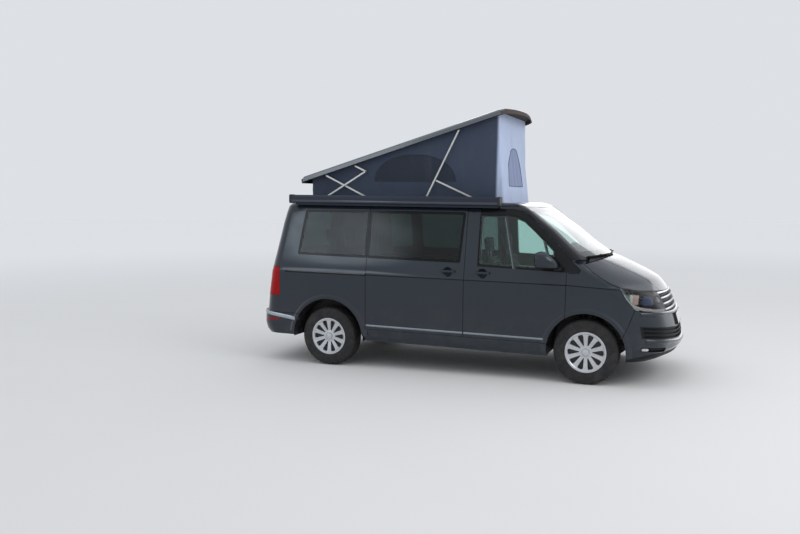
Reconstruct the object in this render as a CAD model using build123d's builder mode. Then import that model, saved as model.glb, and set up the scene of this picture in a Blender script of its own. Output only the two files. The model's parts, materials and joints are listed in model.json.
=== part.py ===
"""Camper van with a pop-up roof, in millimetres, +X forward, +Y left, +Z up."""

import math
import os

from build123d import *

os.makedirs("parts", exist_ok=True)

# Running gear, on the ground
FRONT_AXLE_X = 1544
WHEELBASE = 3000
REAR_AXLE_X = FRONT_AXLE_X - WHEELBASE
TRACK = 1628
TYRE_RADIUS = 343
TYRE_WIDTH = 215
RIM_RADIUS = 203

# The body stands nose down on its springs by this angle about this line
RAKE_DEG = 1.08
RAKE_X = 44
RAKE_Z = 1100

# Panels
WALL = 45
GAP = 5
GLASS_SET_IN = 2.5
GLASS_THICK = 6
GLASS_GAP = 2
REBATE = 9.5
GLASS_LAP = 30
FRAME_IN = 50
FRAME_OUT = 110
FLOOR_CLEAR = 113
HOUSING_FOOT_Z = 310

# Wheel openings
FRONT_ARCH = 412
REAR_ARCH = 447
FLARE_WIDTH = 66
FLARE_OUT = 951

# Height, side half width, nose tip x, nose radius, nose corner radius, tail x, tail corner radius, drop
BODY_LEVELS = [
    (300, 902, 2325, 1600, 330, -2390, 200, -1.2),
    (350, 918, 2412, 1750, 350, -2424, 190, 0.0),
    (430, 928, 2465, 2000, 380, -2440, 180, 0.0),
    (560, 932, 2450, 2200, 400, -2433, 180, 0.0),
    (580, 933, 2446, 2250, 400, -2400, 170, 0.0),
    (640, 934, 2434, 2300, 410, -2392, 170, 0.0),
    (780, 937, 2392, 2400, 420, -2378, 165, 0.1),
    (900, 939, 2345, 2300, 400, -2362, 165, 0.3),
    (971, 940, 2320, 2000, 360, -2350, 160, 0.4),
    (1033, 941, 2278, 1580, 300, -2342, 160, 0.6),
    (1062, 941, 2254, 1400, 250, -2338, 160, 0.7),
    (1078, 930, 2240, 1290, 225, -2334, 160, 0.8),
    (1122, 925, 2196, 1150, 190, -2326, 160, 0.85),
    (1190, 916, 2070, 1110, 140, -2310, 160, 0.9),
    (1250, 906, 1934, 1130, 120, -2294, 155, 0.92),
    (1310, 896, 1798, 1200, 100, -2280, 150, 0.92),
    (1338, 891, 1705, 1750, 90, -2274, 150, 0.9),
    (1486, 865, 1470, 2300, 90, -2240, 145, 0.8),
    (1632, 838, 1278, 2800, 85, -2210, 140, 0.8),
    (1761, 812, 1086, 3300, 80, -2176, 135, 0.8),
    (1840, 795, 972, 3700, 75, -2150, 130, 0.85),
    (1885, 760, 895, 3900, 70, -2110, 130, 1.0),
    (1912, 690, 800, 4000, 60, -2040, 130, 1.0),
]
TAIL_RADIUS = 4000

# Side outlines, length then height
FRONT_DOOR = [
    (1335, 440), (1335, 1196), (1462, 1196), (1478, 1226), (1240, 1478),
    (1050, 1660), (905, 1785), (800, 1836), (700, 1848), (222, 1848), (222, 440),
]
SLIDING_DOOR = [(217, 440), (217, 1848), (-958, 1848), (-958, 440)]
FRONT_WINDOW = [
    (369, 1234), (1215, 1210), (1215, 1428), (1188, 1452), (1003, 1628),
    (872, 1739), (780, 1775), (690, 1790), (359, 1790),
]
SLIDING_WINDOW = [(167, 1252), (198, 1810), (-962, 1810), (-962, 1262)]
QUARTER_WINDOW = [(-960, 1262), (-960, 1810), (-1801, 1806), (-1865, 1271)]
BONNET_SIDE = [
    (1506, 1286), (1620, 1202), (1786, 1106), (1901, 1063), (2290, 1003),
    (2520, 985), (2520, 1400), (1760, 1400), (1700, 1341),
]
LAMP_SIDE = [
    (1886, 1056), (1902, 1058), (2290, 998), (2400, 982), (2400, 790),
    (2290, 806), (2140, 822), (2041, 851), (1950, 960),
]
LAMP_INNER_Y = 520
BUMPER_SIDE = [
    (1935, 555), (1989, 688), (2043, 844), (2140, 816), (2290, 800), (2520, 792),
    (2520, 200), (1800, 200),
]
TAIL_LAMP_X = -2096
TAIL_LAMP_Z = (772, 1110)
TAIL_LAMP_Y = 765
TAILGATE = [(-758, 590), (-758, 1200), (-672, 1838), (672, 1838), (758, 1200), (758, 590)]
TAILGATE_WINDOW = [(-655, 1262), (-590, 1780), (590, 1780), (655, 1262)]
WINDSCREEN = [(-800, 1359), (-705, 1868), (705, 1868), (800, 1359)]
GRILLE_HALF = 516
GRILLE_OUTLINE = [(-516, 804), (-516, 1003), (5, 995), (5, 803)]
REAR_BUMPER_TOP = 560
ROOF_SEAM_Z = 1853
COWL_HALF = 800
RAIL_X = (-2012, -964)
RAIL_Y = 928
RAIL_Z = (1062, 1078)
HINGE_PILLAR = [(1040, 310), (1040, 1196), (1330, 1196), (1500, 1196), (1500, 310)]
WING_ROOT = [(1344, 560), (1344, 1190), (1480, 1190), (1480, 560)]
BONNET_THICK = 20
SLOT_DEEP = 24
GRILLE_SLOTS = [(838, 876), (894, 934), (952, 986)]
INTAKE_SLOTS = [(516, 539), (555, 578), (594, 617)]
INTAKE_HALF = 892
INTAKE_RISE = 52
INTAKE_NEAR = 2105
FOG_RECESS = [(-905, 425), (-902, 464), (-700, 450), (-680, 408)]
LENS_THICK = 4
LAMP_DEEP = 150
BARREL_SET_IN = 26

# Width, height and radius of the round lamps, and side outline of the indicator's block
LAMP_BARRELS = [(-792, 940, 52), (-676, 925, 44), (-590, 905, 30)]
INDICATOR = [(1992, 902), (1984, 996), (2058, 990), (2062, 898)]

COWL_DEEP = 28
COWL_SIDE = [(1536, 1300), (1700, 1349), (1700, 1372), (1536, 1372)]

# Pop-up roof: closed height of its parts, virtual hinge line, opening angle
ROOF_HINGE_X = -2620
ROOF_HINGE_Z = 1960
ROOF_OPEN_DEG = 16.95
ROOF_REAR_X = -1952
ROOF_FRONT_X = 790
ROOF_HALF = 670
ROOF_WALL = 14
ROOF_RIM_Z = 1920
ROOF_CAVITY_Z = 1962
ROOF_TOP_Z = 1990
HATCH_X = (-1790, 470)
HATCH_HALF = 540
CANVAS_HALF = 600
ARM_PIVOT_Z = 1900
ARM_LANES = {"outer": 645, "middle": 630, "inner": 615}
ARM_THICK = 10
ARM_HIGH = 18
GROOVE_HALF = (606, 656)
GROOVE_Z = 1885

# Height and inset of the roof shell's sections
ROOF_LEVELS = [(1920, 0), (1966, 3), (1981, 16), (1990, 48)]
CANVAS_BASE_Z = 1915
CANVAS_BASE_X = (-1841, 572)
CANVAS_TOP_X = (-1846, 506)
CANVAS_BELOW = 32
CANVAS_WALL = 8
CANVAS_CORNER = 30

# Foot, head and lane of the bars outside the canvas, with the roof open
ARMS = {
    "lift_arms": ((-368, 1900), (45, 2724), "outer"),
    "lift_links": ((-236, 2164), (362, 1903), "middle"),
    "scissor_arms": ((-1712, 1900), (-1104, 2259), "outer"),
    "scissor_links": ((-1104, 2259), (-1258, 2330), "inner"),
    "cross_arms": ((-962, 1900), (-1630, 2214), "middle"),
}

# Awning case along the right edge of the roof
AWNING_X = (-1968, 607)
AWNING_Y = -870
AWNING_Z = 1930
AWNING_SIZE = (104, 96)
AWNING_CAP = 24
AWNING_RAIL = [(-838, 1859), (-838, 1892), (-722, 1915), (-722, 1902), (-765, 1890), (-788, 1859)]

# Cabin
FLOOR_TOP = 561
DASH_SIDE = [
    (1225, 1040), (1215, 1120), (1245, 1165), (1330, 1196), (1640, 1262), (1640, 1225),
    (1432, 1160), (1432, 812), (1330, 832), (1300, 980),
]
FRONT_SEAT_SIDE = [
    (500, 832), (930, 832), (985, 880), (970, 945), (900, 965), (580, 925),
    (432, 1322), (345, 1332), (318, 1285), (440, 900),
]
BENCH_SIDE = [
    (-1520, 822), (-960, 822), (-930, 880), (-950, 945), (-1420, 925),
    (-1560, 1370), (-1650, 1380), (-1680, 1330), (-1570, 900),
]
STEERING_AT = (1085, 400, 1150)
STEERING_R = 185
STEERING_AXIS = (-0.866, 0, 0.5)
COLUMN_END = 132

# Steering axis, strut steps by low height, high height and radius, hub
BALL_Y = 725
BALL_Z = 225
STEERING_LEAN = 13
STRUT_STEPS = [(215, 420, 26), (420, 560, 30), (560, 722, 50), (722, 742, 22)]
STUB_RADIUS = 32

# Exhaust pipe, over the rear axle
PIPE_PATH = [(1000, 250, 335), (-940, 250, 335), (-1060, 250, 432), (-1500, 250, 432), (-1860, 250, 385)]
PIPE_RADIUS = 28

# Radius and offset outward of the wheel's half section
RIM_PROFILE = [
    (32.05, -20), (75, -20), (80, 30), (186, 30), (186, -92), (190, -100), (215, -100), (215, -97),
    (203, -93), (203, 93), (215, 97), (215, 101), (198, 101), (190, 94), (150, 90), (60, 76),
    (50, 79), (44, 79), (42, 74), (36, 74), (33, 84), (0, 88), (0, 20), (32.05, 20),
]
SLOT_FLOOR_Y = 60
SLOT_OUTLINE = [(68, -4), (68, 4), (164, 29), (184, 27), (189, 0), (184, -27), (164, -29)]
TYRE_PROFILE = [
    (203.4, -91), (218, -92), (232, -101), (268, -107), (306, -104), (328, -97), (339, -84),
    (343, -40), (343, 40), (339, 84), (328, 97), (306, 104), (268, 107), (232, 101), (218, 92),
    (203.4, 91), (203.4, 74), (230, 84), (270, 92), (314, 88), (328, 60), (331, 0), (328, -60),
    (314, -88), (270, -92), (230, -84), (203.4, -74),
]


def block(low, high):
    """Box between two opposite corners."""
    with BuildPart() as box:
        with Locations([tuple((a + b) / 2 for a, b in zip(low, high))]):
            Box(*[b - a for a, b in zip(low, high)])
    return box.part


def cut(base, *tools):
    """The base with each tool taken away."""
    with BuildPart() as piece:
        add(base)
        add(tools, mode=Mode.SUBTRACT)
    return piece.part


def common(base, *tools):
    """The part of the base that lies in every tool."""
    with BuildPart() as piece:
        add(base)
        for tool in tools:
            add(tool, mode=Mode.INTERSECT)
    return piece.part


def joined(*parts):
    """All the parts as one."""
    with BuildPart() as piece:
        add(parts)
    return piece.part


def mirrored(part):
    """The same part on the other side of the van."""
    with BuildPart() as piece:
        mirror(part, about=Plane.XZ)
    return piece.part


def side_prism(outline, near, far, grow=0, corner=0):
    """A length and height outline run across the van from near to far."""
    with BuildPart() as prism:
        with BuildSketch(Plane.XZ.offset(-near)) as sketch:
            with BuildLine():
                Polyline(*outline, close=True)
            make_face()
            if grow:
                offset(amount=grow, kind=Kind.INTERSECTION)
            if corner:
                fillet(sketch.vertices(), corner)
        extrude(amount=near - far)
    return prism.part


def front_prism(outline, near, far, grow=0, corner=0):
    """A width and height outline run along the van from near to far."""
    with BuildPart() as prism:
        with BuildSketch(Plane.YZ.offset(near)) as sketch:
            with BuildLine():
                Polyline(*outline, close=True)
            make_face()
            if grow:
                offset(amount=grow, kind=Kind.INTERSECTION)
            if corner:
                fillet(sketch.vertices(), corner)
        extrude(amount=far - near)
    return prism.part


def end_points(half, tip, radius, corner):
    """Tangent points and corner middle of one rounded end, for a tip along +X."""
    centre = tip - radius
    corner_x = centre + math.sqrt((radius - corner) ** 2 - (half - corner) ** 2)
    corner_y = half - corner
    reach = math.hypot(corner_x - centre, corner_y)
    toward = ((corner_x - centre) / reach, corner_y / reach)
    joint = (centre + radius * toward[0], radius * toward[1])
    middle_angle = (math.pi / 2 + math.atan2(toward[1], toward[0])) / 2
    middle = (
        corner_x + corner * math.cos(middle_angle),
        corner_y + corner * math.sin(middle_angle),
    )
    return (corner_x, half), middle, joint


def body_form(inset):
    """The outside of the body, moved inward all round by inset."""
    with BuildPart() as form:
        for height, half, nose, nose_r, corner, tail, tail_corner, drop in BODY_LEVELS:
            level = height - inset * abs(drop)
            forward = math.sqrt(1 - min(drop, 1) ** 2) if drop > 0 else 1
            side = half - inset
            start, middle, joint = end_points(
                side, nose - inset * forward, nose_r - inset, max(corner - inset, 20)
            )
            back_start, back_middle, back_joint = end_points(
                side, -tail - inset, TAIL_RADIUS - inset, max(tail_corner - inset, 20)
            )
            tip = (nose - inset * forward, 0)
            back = (tail + inset, 0)
            with BuildSketch(Plane.XY.offset(level)):
                with BuildLine():
                    Line((-back_start[0], -back_start[1]), (start[0], -start[1]))
                    ThreePointArc((start[0], -start[1]), (middle[0], -middle[1]), (joint[0], -joint[1]))
                    ThreePointArc((joint[0], -joint[1]), tip, joint)
                    ThreePointArc(joint, middle, start)
                    Line(start, (-back_start[0], back_start[1]))
                    ThreePointArc(
                        (-back_start[0], back_start[1]),
                        (-back_middle[0], back_middle[1]),
                        (-back_joint[0], back_joint[1]),
                    )
                    ThreePointArc(
                        (-back_joint[0], back_joint[1]), back, (-back_joint[0], -back_joint[1])
                    )
                    ThreePointArc(
                        (-back_joint[0], -back_joint[1]),
                        (-back_middle[0], -back_middle[1]),
                        (-back_start[0], -back_start[1]),
                    )
                make_face()
        loft(ruled=True)
    return form.part


def to_body(x, z):
    """A place on the standing van, given in the level body."""
    angle = math.radians(RAKE_DEG)
    run, rise = x - RAKE_X, z - RAKE_Z
    return (
        RAKE_X + run * math.cos(angle) - rise * math.sin(angle),
        RAKE_Z + run * math.sin(angle) + rise * math.cos(angle),
    )


def across(x, z, radius, near, far):
    """A round bar across the van."""
    with BuildPart() as bar:
        with BuildSketch(Plane.XZ.offset(-near)):
            with Locations((x, z)):
                Circle(radius)
        extrude(amount=near - far)
    return bar.part


def save(name, part):
    """Writes one named piece."""
    part.label = name
    export_step(part, f"parts/{name}.step")


def save_on_body(name, part):
    """Writes a piece of the level body at its place on the standing van."""
    save(name, part.rotate(Axis((RAKE_X, 0, RAKE_Z), (0, 1, 0)), RAKE_DEG))

RIGHT = (-1100, -600)
WIDE = (-1100, 1100)
right_half = block((-3000, -1100, 0), (3000, 0, 2500))

# Body forms, each a step further in than the one before
form_outer = common(body_form(0), right_half)
form_wall = body_form(WALL)
form_frame = body_form(FRAME_IN)
form_inside = body_form(FRAME_OUT)
form_floor = body_form(FLOOR_CLEAR)
form_rebate = body_form(REBATE)
form_pane = body_form(GLASS_SET_IN)
form_pane_back = body_form(GLASS_SET_IN + GLASS_THICK)

# Skin of the right half with flared wheel openings
axles = {
    "front": (to_body(FRONT_AXLE_X, TYRE_RADIUS), FRONT_ARCH),
    "rear": (to_body(REAR_AXLE_X, TYRE_RADIUS), REAR_ARCH),
}


def flare(centre, radius):
    """A bevelled ring round one wheel opening on the right."""
    reach = radius + FLARE_WIDTH
    with BuildPart() as ring:
        with BuildSketch(Plane.XY.offset(centre[1])):
            with BuildLine():
                Polyline(
                    (centre[0] + radius - 4, -880),
                    (centre[0] + radius - 4, -FLARE_OUT + 4),
                    (centre[0] + radius + 4, -FLARE_OUT),
                    (centre[0] + radius + 34, -FLARE_OUT + 1),
                    (centre[0] + reach, -FLARE_OUT + 22),
                    (centre[0] + reach, -880),
                    close=True,
                )
            make_face()
        revolve(axis=Axis((centre[0], 0, centre[1]), (0, 1, 0)))
    return common(ring.part, block((-3000, -1000, 352), (3000, 0, 1500)))


flares = [flare(*axle) for axle in axles.values()]
arches = [across(*centre, radius, -1100, -560) for centre, radius in axles.values()]
skin = cut(joined(form_outer, *flares), form_wall, *arches)


def glass(outline, prism=side_prism, near=RIGHT[0], far=RIGHT[1], corner=25):
    """A window pane set into its rebate."""
    return cut(common(form_pane, prism(outline, near, far, -GLASS_GAP, corner)), form_pane_back)


def window_tools(outline, prism=side_prism, near=RIGHT[0], far=RIGHT[1], corner=25):
    """The opening for a window and the rebate for its pane."""
    opening = prism(outline, near, far, -GLASS_LAP, corner)
    rebate = cut(prism(outline, near, far, 0, corner), form_rebate)
    return opening, rebate


# Front doors with their mirrors and handles
def handle(x):
    """A pull handle that stands off the door skin on two feet."""
    low, high = HANDLE_Z
    bar = block((x, -948, low), (x + HANDLE_LONG, -936, high))
    feet = [block((a, -940, low), (a + 22, -905, high)) for a in (x, x + HANDLE_LONG - 22)]
    return bar, *feet


def handle_bowl(x):
    """A round hollow in the skin behind the middle of a handle."""
    with BuildPart() as ball:
        with Locations((x + HANDLE_LONG / 2, BOWL_Y, (HANDLE_Z[0] + HANDLE_Z[1]) / 2)):
            Sphere(BOWL_RADIUS)
    return ball.part


def mirror_head():
    """The right mirror head and its foot on the door."""
    with BuildPart() as head:
        for x, y, z, wide, high, corner in MIRROR_SECTIONS:
            with BuildSketch(Plane.YZ.offset(x)):
                with Locations((y, z)):
                    RectangleRounded(wide, high, corner)
        loft(ruled=True)
    foot = block((1222, -1010, 1226), (1300, -885, 1262))
    return head.part, foot


# Length, middle, height, width, depth and corner of the mirror head's sections
MIRROR_SECTIONS = [
    (1040, -1046, 1326, 172, 134, 50),
    (1050, -1046, 1330, 196, 158, 60),
    (1085, -1046, 1334, 208, 176, 66),
    (1125, -1045, 1331, 206, 172, 66),
    (1170, -1042, 1320, 190, 152, 60),
    (1215, -1036, 1302, 158, 118, 48),
    (1250, -1026, 1280, 112, 74, 32),
    (1266, -1018, 1266, 70, 42, 18),
]
HANDLE_Z = (1146, 1170)
HANDLE_LONG = 170
HANDLE_X = {"front_door": 340, "sliding_door": -58}
BOWL_RADIUS = 100
BOWL_Y = -1004

front_door = cut(
    common(skin, side_prism(FRONT_DOOR, *RIGHT)),
    *window_tools(FRONT_WINDOW, corner=22),
    handle_bowl(HANDLE_X["front_door"]),
)
front_door = joined(front_door, *handle(HANDLE_X["front_door"]), *mirror_head())
front_glass = glass(FRONT_WINDOW, corner=22)

# Sliding door
sliding_door = cut(
    common(skin, side_prism(SLIDING_DOOR, *RIGHT)),
    *window_tools(SLIDING_WINDOW),
    handle_bowl(HANDLE_X["sliding_door"]),
)
sliding_door = joined(sliding_door, *handle(HANDLE_X["sliding_door"]))
sliding_glass = glass(SLIDING_WINDOW)
quarter_glass = glass(QUARTER_WINDOW)

# Body sides: sill, pillars, wing and rear quarter
tailgate_zone = front_prism(TAILGATE, -2600, -1990, grow=GAP)
tail_lamp_zone = block((-2600, -1100, TAIL_LAMP_Z[0]), (TAIL_LAMP_X, -TAIL_LAMP_Y, TAIL_LAMP_Z[1]))
tail_lamp_hole = block(
    (-2600, -1100, TAIL_LAMP_Z[0] - 3), (TAIL_LAMP_X + 3, -TAIL_LAMP_Y + 20, TAIL_LAMP_Z[1] + 3)
)
roof_zone = block((-3000, -1100, ROOF_SEAM_Z), (3000, 0, 2500))
hatch = block((HATCH_X[0], -HATCH_HALF, 1700), (HATCH_X[1], 10, 2100))
cowl_zone = block((1512, -COWL_HALF - 14, 1200), (2000, 0, 1420))
rear_bumper_x = axles["rear"][0][0]
front_cuts = [
    side_prism(FRONT_DOOR, *RIGHT, grow=GAP),
    side_prism(BONNET_SIDE, -1100, 0, grow=GAP),
    side_prism(LAMP_SIDE, -1100, 0, grow=3),
    side_prism(BUMPER_SIDE, -1100, 0, grow=GAP),
]
side_cuts = [
    block((-3000, -1100, 0), (rear_bumper_x, 0, REAR_BUMPER_TOP + GAP)),
    roof_zone,
    cowl_zone,
    tailgate_zone,
    tail_lamp_hole,
    front_prism(WINDSCREEN, 700, 2000, 2, 40),
    block((RAIL_X[0], -1100, RAIL_Z[0]), (RAIL_X[1], -RAIL_Y, RAIL_Z[1])),
    *window_tools(QUARTER_WINDOW),
]
outer_side = cut(skin, *front_cuts, *side_cuts)
sill = cut(common(form_outer, block((-990, -1100, 0), (1120, 0, 436))), form_inside, *arches)
pillars = [
    cut(
        common(form_frame, block((low, -1100, 310), (high, 0, ROOF_SEAM_Z - 1))),
        form_inside, hatch, *arches,
    )
    for low, high in ((150, 290), (-1030, -900))
]
hinge_pillar = cut(
    common(form_frame, side_prism(HINGE_PILLAR, -1100, 0)),
    form_inside, *arches, side_prism(FRONT_WINDOW, *RIGHT),
)
wing_root = cut(
    common(form_outer, side_prism(WING_ROOT, -1100, 0)),
    form_inside, *arches, *front_cuts,
)
frame_side = joined(sill, *pillars, hinge_pillar, wing_root)
right_side = joined(cut(outer_side, side_prism(SLIDING_DOOR, *RIGHT, grow=GAP)), frame_side)
left_side = mirrored(joined(cut(outer_side, *window_tools(SLIDING_WINDOW)), frame_side))

# Roof frame with the sleeping hatch and the grooves for the folded arms
roof_side = cut(
    common(skin, roof_zone),
    hatch,
    block((-1775, -GROOVE_HALF[1], GROOVE_Z), (650, -GROOVE_HALF[0], 2000)),
    front_prism(WINDSCREEN, 700, 2000, 2, 40),
)
roof_frame = joined(roof_side, mirrored(roof_side))

# Nose
bonnet_side = common(skin, side_prism(BONNET_SIDE, -1100, 0))
bonnet_side = cut(bonnet_side, body_form(BONNET_THICK))
bonnet = joined(bonnet_side, mirrored(bonnet_side))
form_slot = body_form(SLOT_DEEP)


def slots(rows, half, rise, near):
    """Grooves between the bars of a grille, rising toward the corner, as deep as the slot form."""
    return [
        cut(
            front_prism(
                [(-half, low + rise), (-half, high + rise), (-300, high), (5, high), (5, low), (-300, low)],
                near, 2600,
            ),
            form_slot,
        )
        for low, high in rows
    ]


grille_side = common(skin, front_prism(GRILLE_OUTLINE, 2000, 2600))
grille_side = cut(grille_side, *slots(GRILLE_SLOTS, GRILLE_HALF - 12, 0, 2000))
grille = joined(grille_side, mirrored(grille_side))

bumper_side = common(skin, side_prism(BUMPER_SIDE, -1100, 0))
bumper_side = cut(
    bumper_side,
    *slots(INTAKE_SLOTS, INTAKE_HALF, INTAKE_RISE, INTAKE_NEAR),
    cut(front_prism(FOG_RECESS, INTAKE_NEAR, 2600), form_slot),
)
front_bumper = joined(bumper_side, mirrored(bumper_side))

lamp_zone = side_prism(LAMP_SIDE, -1100, -LAMP_INNER_Y)
lens = cut(common(skin, lamp_zone), body_form(LENS_THICK))
bowl = cut(
    common(form_outer, lamp_zone),
    body_form(LAMP_DEEP),
    cut(form_outer, body_form(LENS_THICK + 1)),
    cut(side_prism(LAMP_SIDE, -1100, -LAMP_INNER_Y - 6, grow=-6), body_form(LAMP_DEEP - 5)),
)

with BuildPart() as barrels:
    for y, z, radius in LAMP_BARRELS:
        with BuildSketch(Plane.YZ.offset(1900)):
            with Locations((y, z)):
                Circle(radius)
                Circle(radius * 0.72, mode=Mode.SUBTRACT)
        extrude(amount=600)
lamp_inside = cut(
    common(joined(barrels.part, side_prism(INDICATOR, -1000, -780)), body_form(BARREL_SET_IN), lamp_zone),
    body_form(LAMP_DEEP - 2),
)
bowl = joined(bowl, lamp_inside)

tail_lamp = common(skin, tail_lamp_zone)

# Rear end
tail = common(skin, front_prism(TAILGATE, -2600, -1990))
tailgate_side = cut(
    tail,
    *window_tools(TAILGATE_WINDOW, front_prism, -2600, -1990, 30),
    block((-2420, -330, 700), (-2352, 0, 830)),
)
tailgate = joined(tailgate_side, mirrored(tailgate_side))
tailgate_glass = glass(TAILGATE_WINDOW, front_prism, -2600, -1990, 30)
rear_bumper_side = common(skin, block((-3000, -1100, 0), (rear_bumper_x, 0, REAR_BUMPER_TOP)))
rear_bumper = joined(rear_bumper_side, mirrored(rear_bumper_side))
windscreen = glass(WINDSCREEN, front_prism, 700, 2000, 40)

save_on_body("front_door_right", front_door)
save_on_body("front_door_left", mirrored(front_door))
save_on_body("front_door_glass_right", front_glass)
save_on_body("front_door_glass_left", mirrored(front_glass))
save_on_body("sliding_door", sliding_door)
save_on_body("sliding_door_glass", sliding_glass)
save_on_body("side_glass", joined(quarter_glass, mirrored(quarter_glass), mirrored(sliding_glass)))
save_on_body("body_side_right", right_side)
save_on_body("body_side_left", left_side)
save_on_body("roof_frame", roof_frame)
save_on_body("bonnet", bonnet)
save_on_body("grille", grille)
save_on_body("front_bumper", front_bumper)
save_on_body("headlamp_lenses", joined(lens, mirrored(lens)))
save_on_body("headlamps", joined(bowl, mirrored(bowl)))
save_on_body("tail_lamps", joined(tail_lamp, mirrored(tail_lamp)))
save_on_body("tailgate", tailgate)
save_on_body("tailgate_glass", tailgate_glass)
save_on_body("rear_bumper", rear_bumper)
save_on_body("windscreen", windscreen)

# Underbody: floor, rails, wheel housings, bulkhead and cowl tray
def housing(centre, radius, inner_y):
    """A cup over the right wheel, open outward."""
    outer = across(*centre, radius + 14, -900, -inner_y)
    inner = across(*centre, radius + 2, -900, -inner_y - 12)
    return cut(common(outer, block((-3000, -1000, HOUSING_FOOT_Z), (3000, 0, 1000))), inner)


front_cup = cut(
    housing(axles["front"][0], FRONT_ARCH, 470), block((1415, -495, 300), (2100, -400, 900))
)
axle_notch = block((-1515, -640, 300), (-1370, -600, 385))
rear_cup = cut(housing(axles["rear"][0], REAR_ARCH, 610), axle_notch)
floor_plates = [
    block((-2320, -900, 520), (1150, 5, 560)),
    block((1100, -472, 520), (1440, 5, 560)),
    block((1440, -900, 520), (1466, 5, 1150)),
    block((-2250, -490, 400), (1460, -410, 521)),
    block((-700, -830, 440), (-620, 5, 521)),
    block((500, -830, 440), (580, 5, 521)),
]
wheel_wells = [
    across(*axles["front"][0], FRONT_ARCH + 14.5, -900, -469.5),
    across(*axles["rear"][0], REAR_ARCH + 14.5, -900, -609.5),
]
floor_side = cut(common(joined(*floor_plates), block((-3000, -1000, 0), (3000, 5, 1300))), *wheel_wells)
underbody_side = common(floor_side, form_floor)
housing_side = common(joined(front_cup, rear_cup), form_floor)
cowl_side = cut(
    common(body_form(COWL_DEEP), side_prism(COWL_SIDE, -780, 5)), form_frame
)
underbody = joined(underbody_side, mirrored(underbody_side))
wheel_housings = joined(housing_side, mirrored(housing_side))
cowl = joined(cowl_side, mirrored(cowl_side))

# Pop-up roof, drawn closed and then opened about its hinge line
roof_axis = Axis((ROOF_HINGE_X, 0, ROOF_HINGE_Z), (0, 1, 0))


def roof_plan(inset):
    """The plan of the roof shell, moved inward by inset."""
    start, middle, joint = end_points(ROOF_HALF - inset, ROOF_FRONT_X - inset, 2600, 120 - inset)
    back_x = ROOF_REAR_X + inset
    Line((back_x, -ROOF_HALF + inset + 60), (back_x + 60, -ROOF_HALF + inset))
    Line((back_x + 60, -ROOF_HALF + inset), (start[0], -start[1]))
    ThreePointArc((start[0], -start[1]), (middle[0], -middle[1]), (joint[0], -joint[1]))
    ThreePointArc((joint[0], -joint[1]), (ROOF_FRONT_X - inset, 0), joint)
    ThreePointArc(joint, middle, start)
    Line(start, (back_x + 60, ROOF_HALF - inset))
    Line((back_x + 60, ROOF_HALF - inset), (back_x, ROOF_HALF - inset - 60))
    Line((back_x, ROOF_HALF - inset - 60), (back_x, -ROOF_HALF + inset + 60))


with BuildPart() as roof_shell:
    for level, inset in ROOF_LEVELS:
        with BuildSketch(Plane.XY.offset(level)):
            with BuildLine():
                roof_plan(inset)
            make_face()
    loft(ruled=True)
    with BuildSketch(Plane.XY.offset(ROOF_RIM_Z)):
        with BuildLine():
            roof_plan(ROOF_WALL)
        make_face()
    extrude(amount=ROOF_CAVITY_Z - ROOF_RIM_Z, mode=Mode.SUBTRACT)


def roof_under(x, below):
    """Height of the open roof at a length, this far below its hinge line."""
    angle = math.radians(ROOF_OPEN_DEG)
    return ROOF_HINGE_Z + (x - ROOF_HINGE_X) * math.tan(angle) - below / math.cos(angle)


def canvas_prism(wall, over):
    """The room under the open roof, less a wall all round, and longer at both ends by over."""
    rear_x, front_x = CANVAS_BASE_X[0] + wall, CANVAS_BASE_X[1] - wall
    rear_top, front_top = CANVAS_TOP_X[0] + wall, CANVAS_TOP_X[1] - wall
    with BuildPart() as prism:
        with BuildSketch(Plane.XZ.offset(-CANVAS_HALF + wall)):
            with BuildLine():
                Polyline(
                    (rear_x, CANVAS_BASE_Z - over),
                    (front_x, CANVAS_BASE_Z - over),
                    (front_top, roof_under(front_top, CANVAS_BELOW) + over),
                    (rear_top, roof_under(rear_top, CANVAS_BELOW) + over),
                    close=True,
                )
            make_face()
        extrude(amount=2 * (CANVAS_HALF - wall))
        fillet(prism.edges().filter_by(Axis.Z, tolerance=6), CANVAS_CORNER - wall)
    return prism.part


def arm_pair(start, end, lane):
    """A flat bar with round ends on each side of the canvas."""
    middle = ((start[0] + end[0]) / 2, (start[1] + end[1]) / 2)
    run, rise = end[0] - start[0], end[1] - start[1]
    with BuildPart() as bar:
        with BuildSketch(Plane.XZ.offset(ARM_LANES[lane] - ARM_THICK / 2)):
            with Locations(Location(middle, math.degrees(math.atan2(rise, run)))):
                SlotCenterToCenter(math.hypot(run, rise), ARM_HIGH)
        extrude(amount=ARM_THICK)
        mirror(about=Plane.XZ)
    return bar.part


with BuildPart() as awning_case:
    with BuildSketch(Plane.YZ.offset(AWNING_X[0])):
        with Locations((AWNING_Y, AWNING_Z)):
            RectangleRounded(*AWNING_SIZE, 20)
    extrude(amount=AWNING_X[1] - AWNING_X[0])
    for end in AWNING_X:
        with BuildSketch(Plane.YZ.offset(min(end, AWNING_X[1] - AWNING_CAP))):
            with Locations((AWNING_Y, AWNING_Z)):
                RectangleRounded(AWNING_SIZE[0] + 8, AWNING_SIZE[1] + 8, 22)
        extrude(amount=AWNING_CAP)
    add(front_prism(AWNING_RAIL, AWNING_X[0] + 40, AWNING_X[1] - 40))

# Cabin
with BuildPart() as dashboard:
    with BuildSketch(Plane.XZ.offset(-800)):
        with BuildLine():
            Polyline(*DASH_SIDE, close=True)
        make_face()
    extrude(amount=1600)
dashboard_piece = common(dashboard.part, form_floor)


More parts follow.
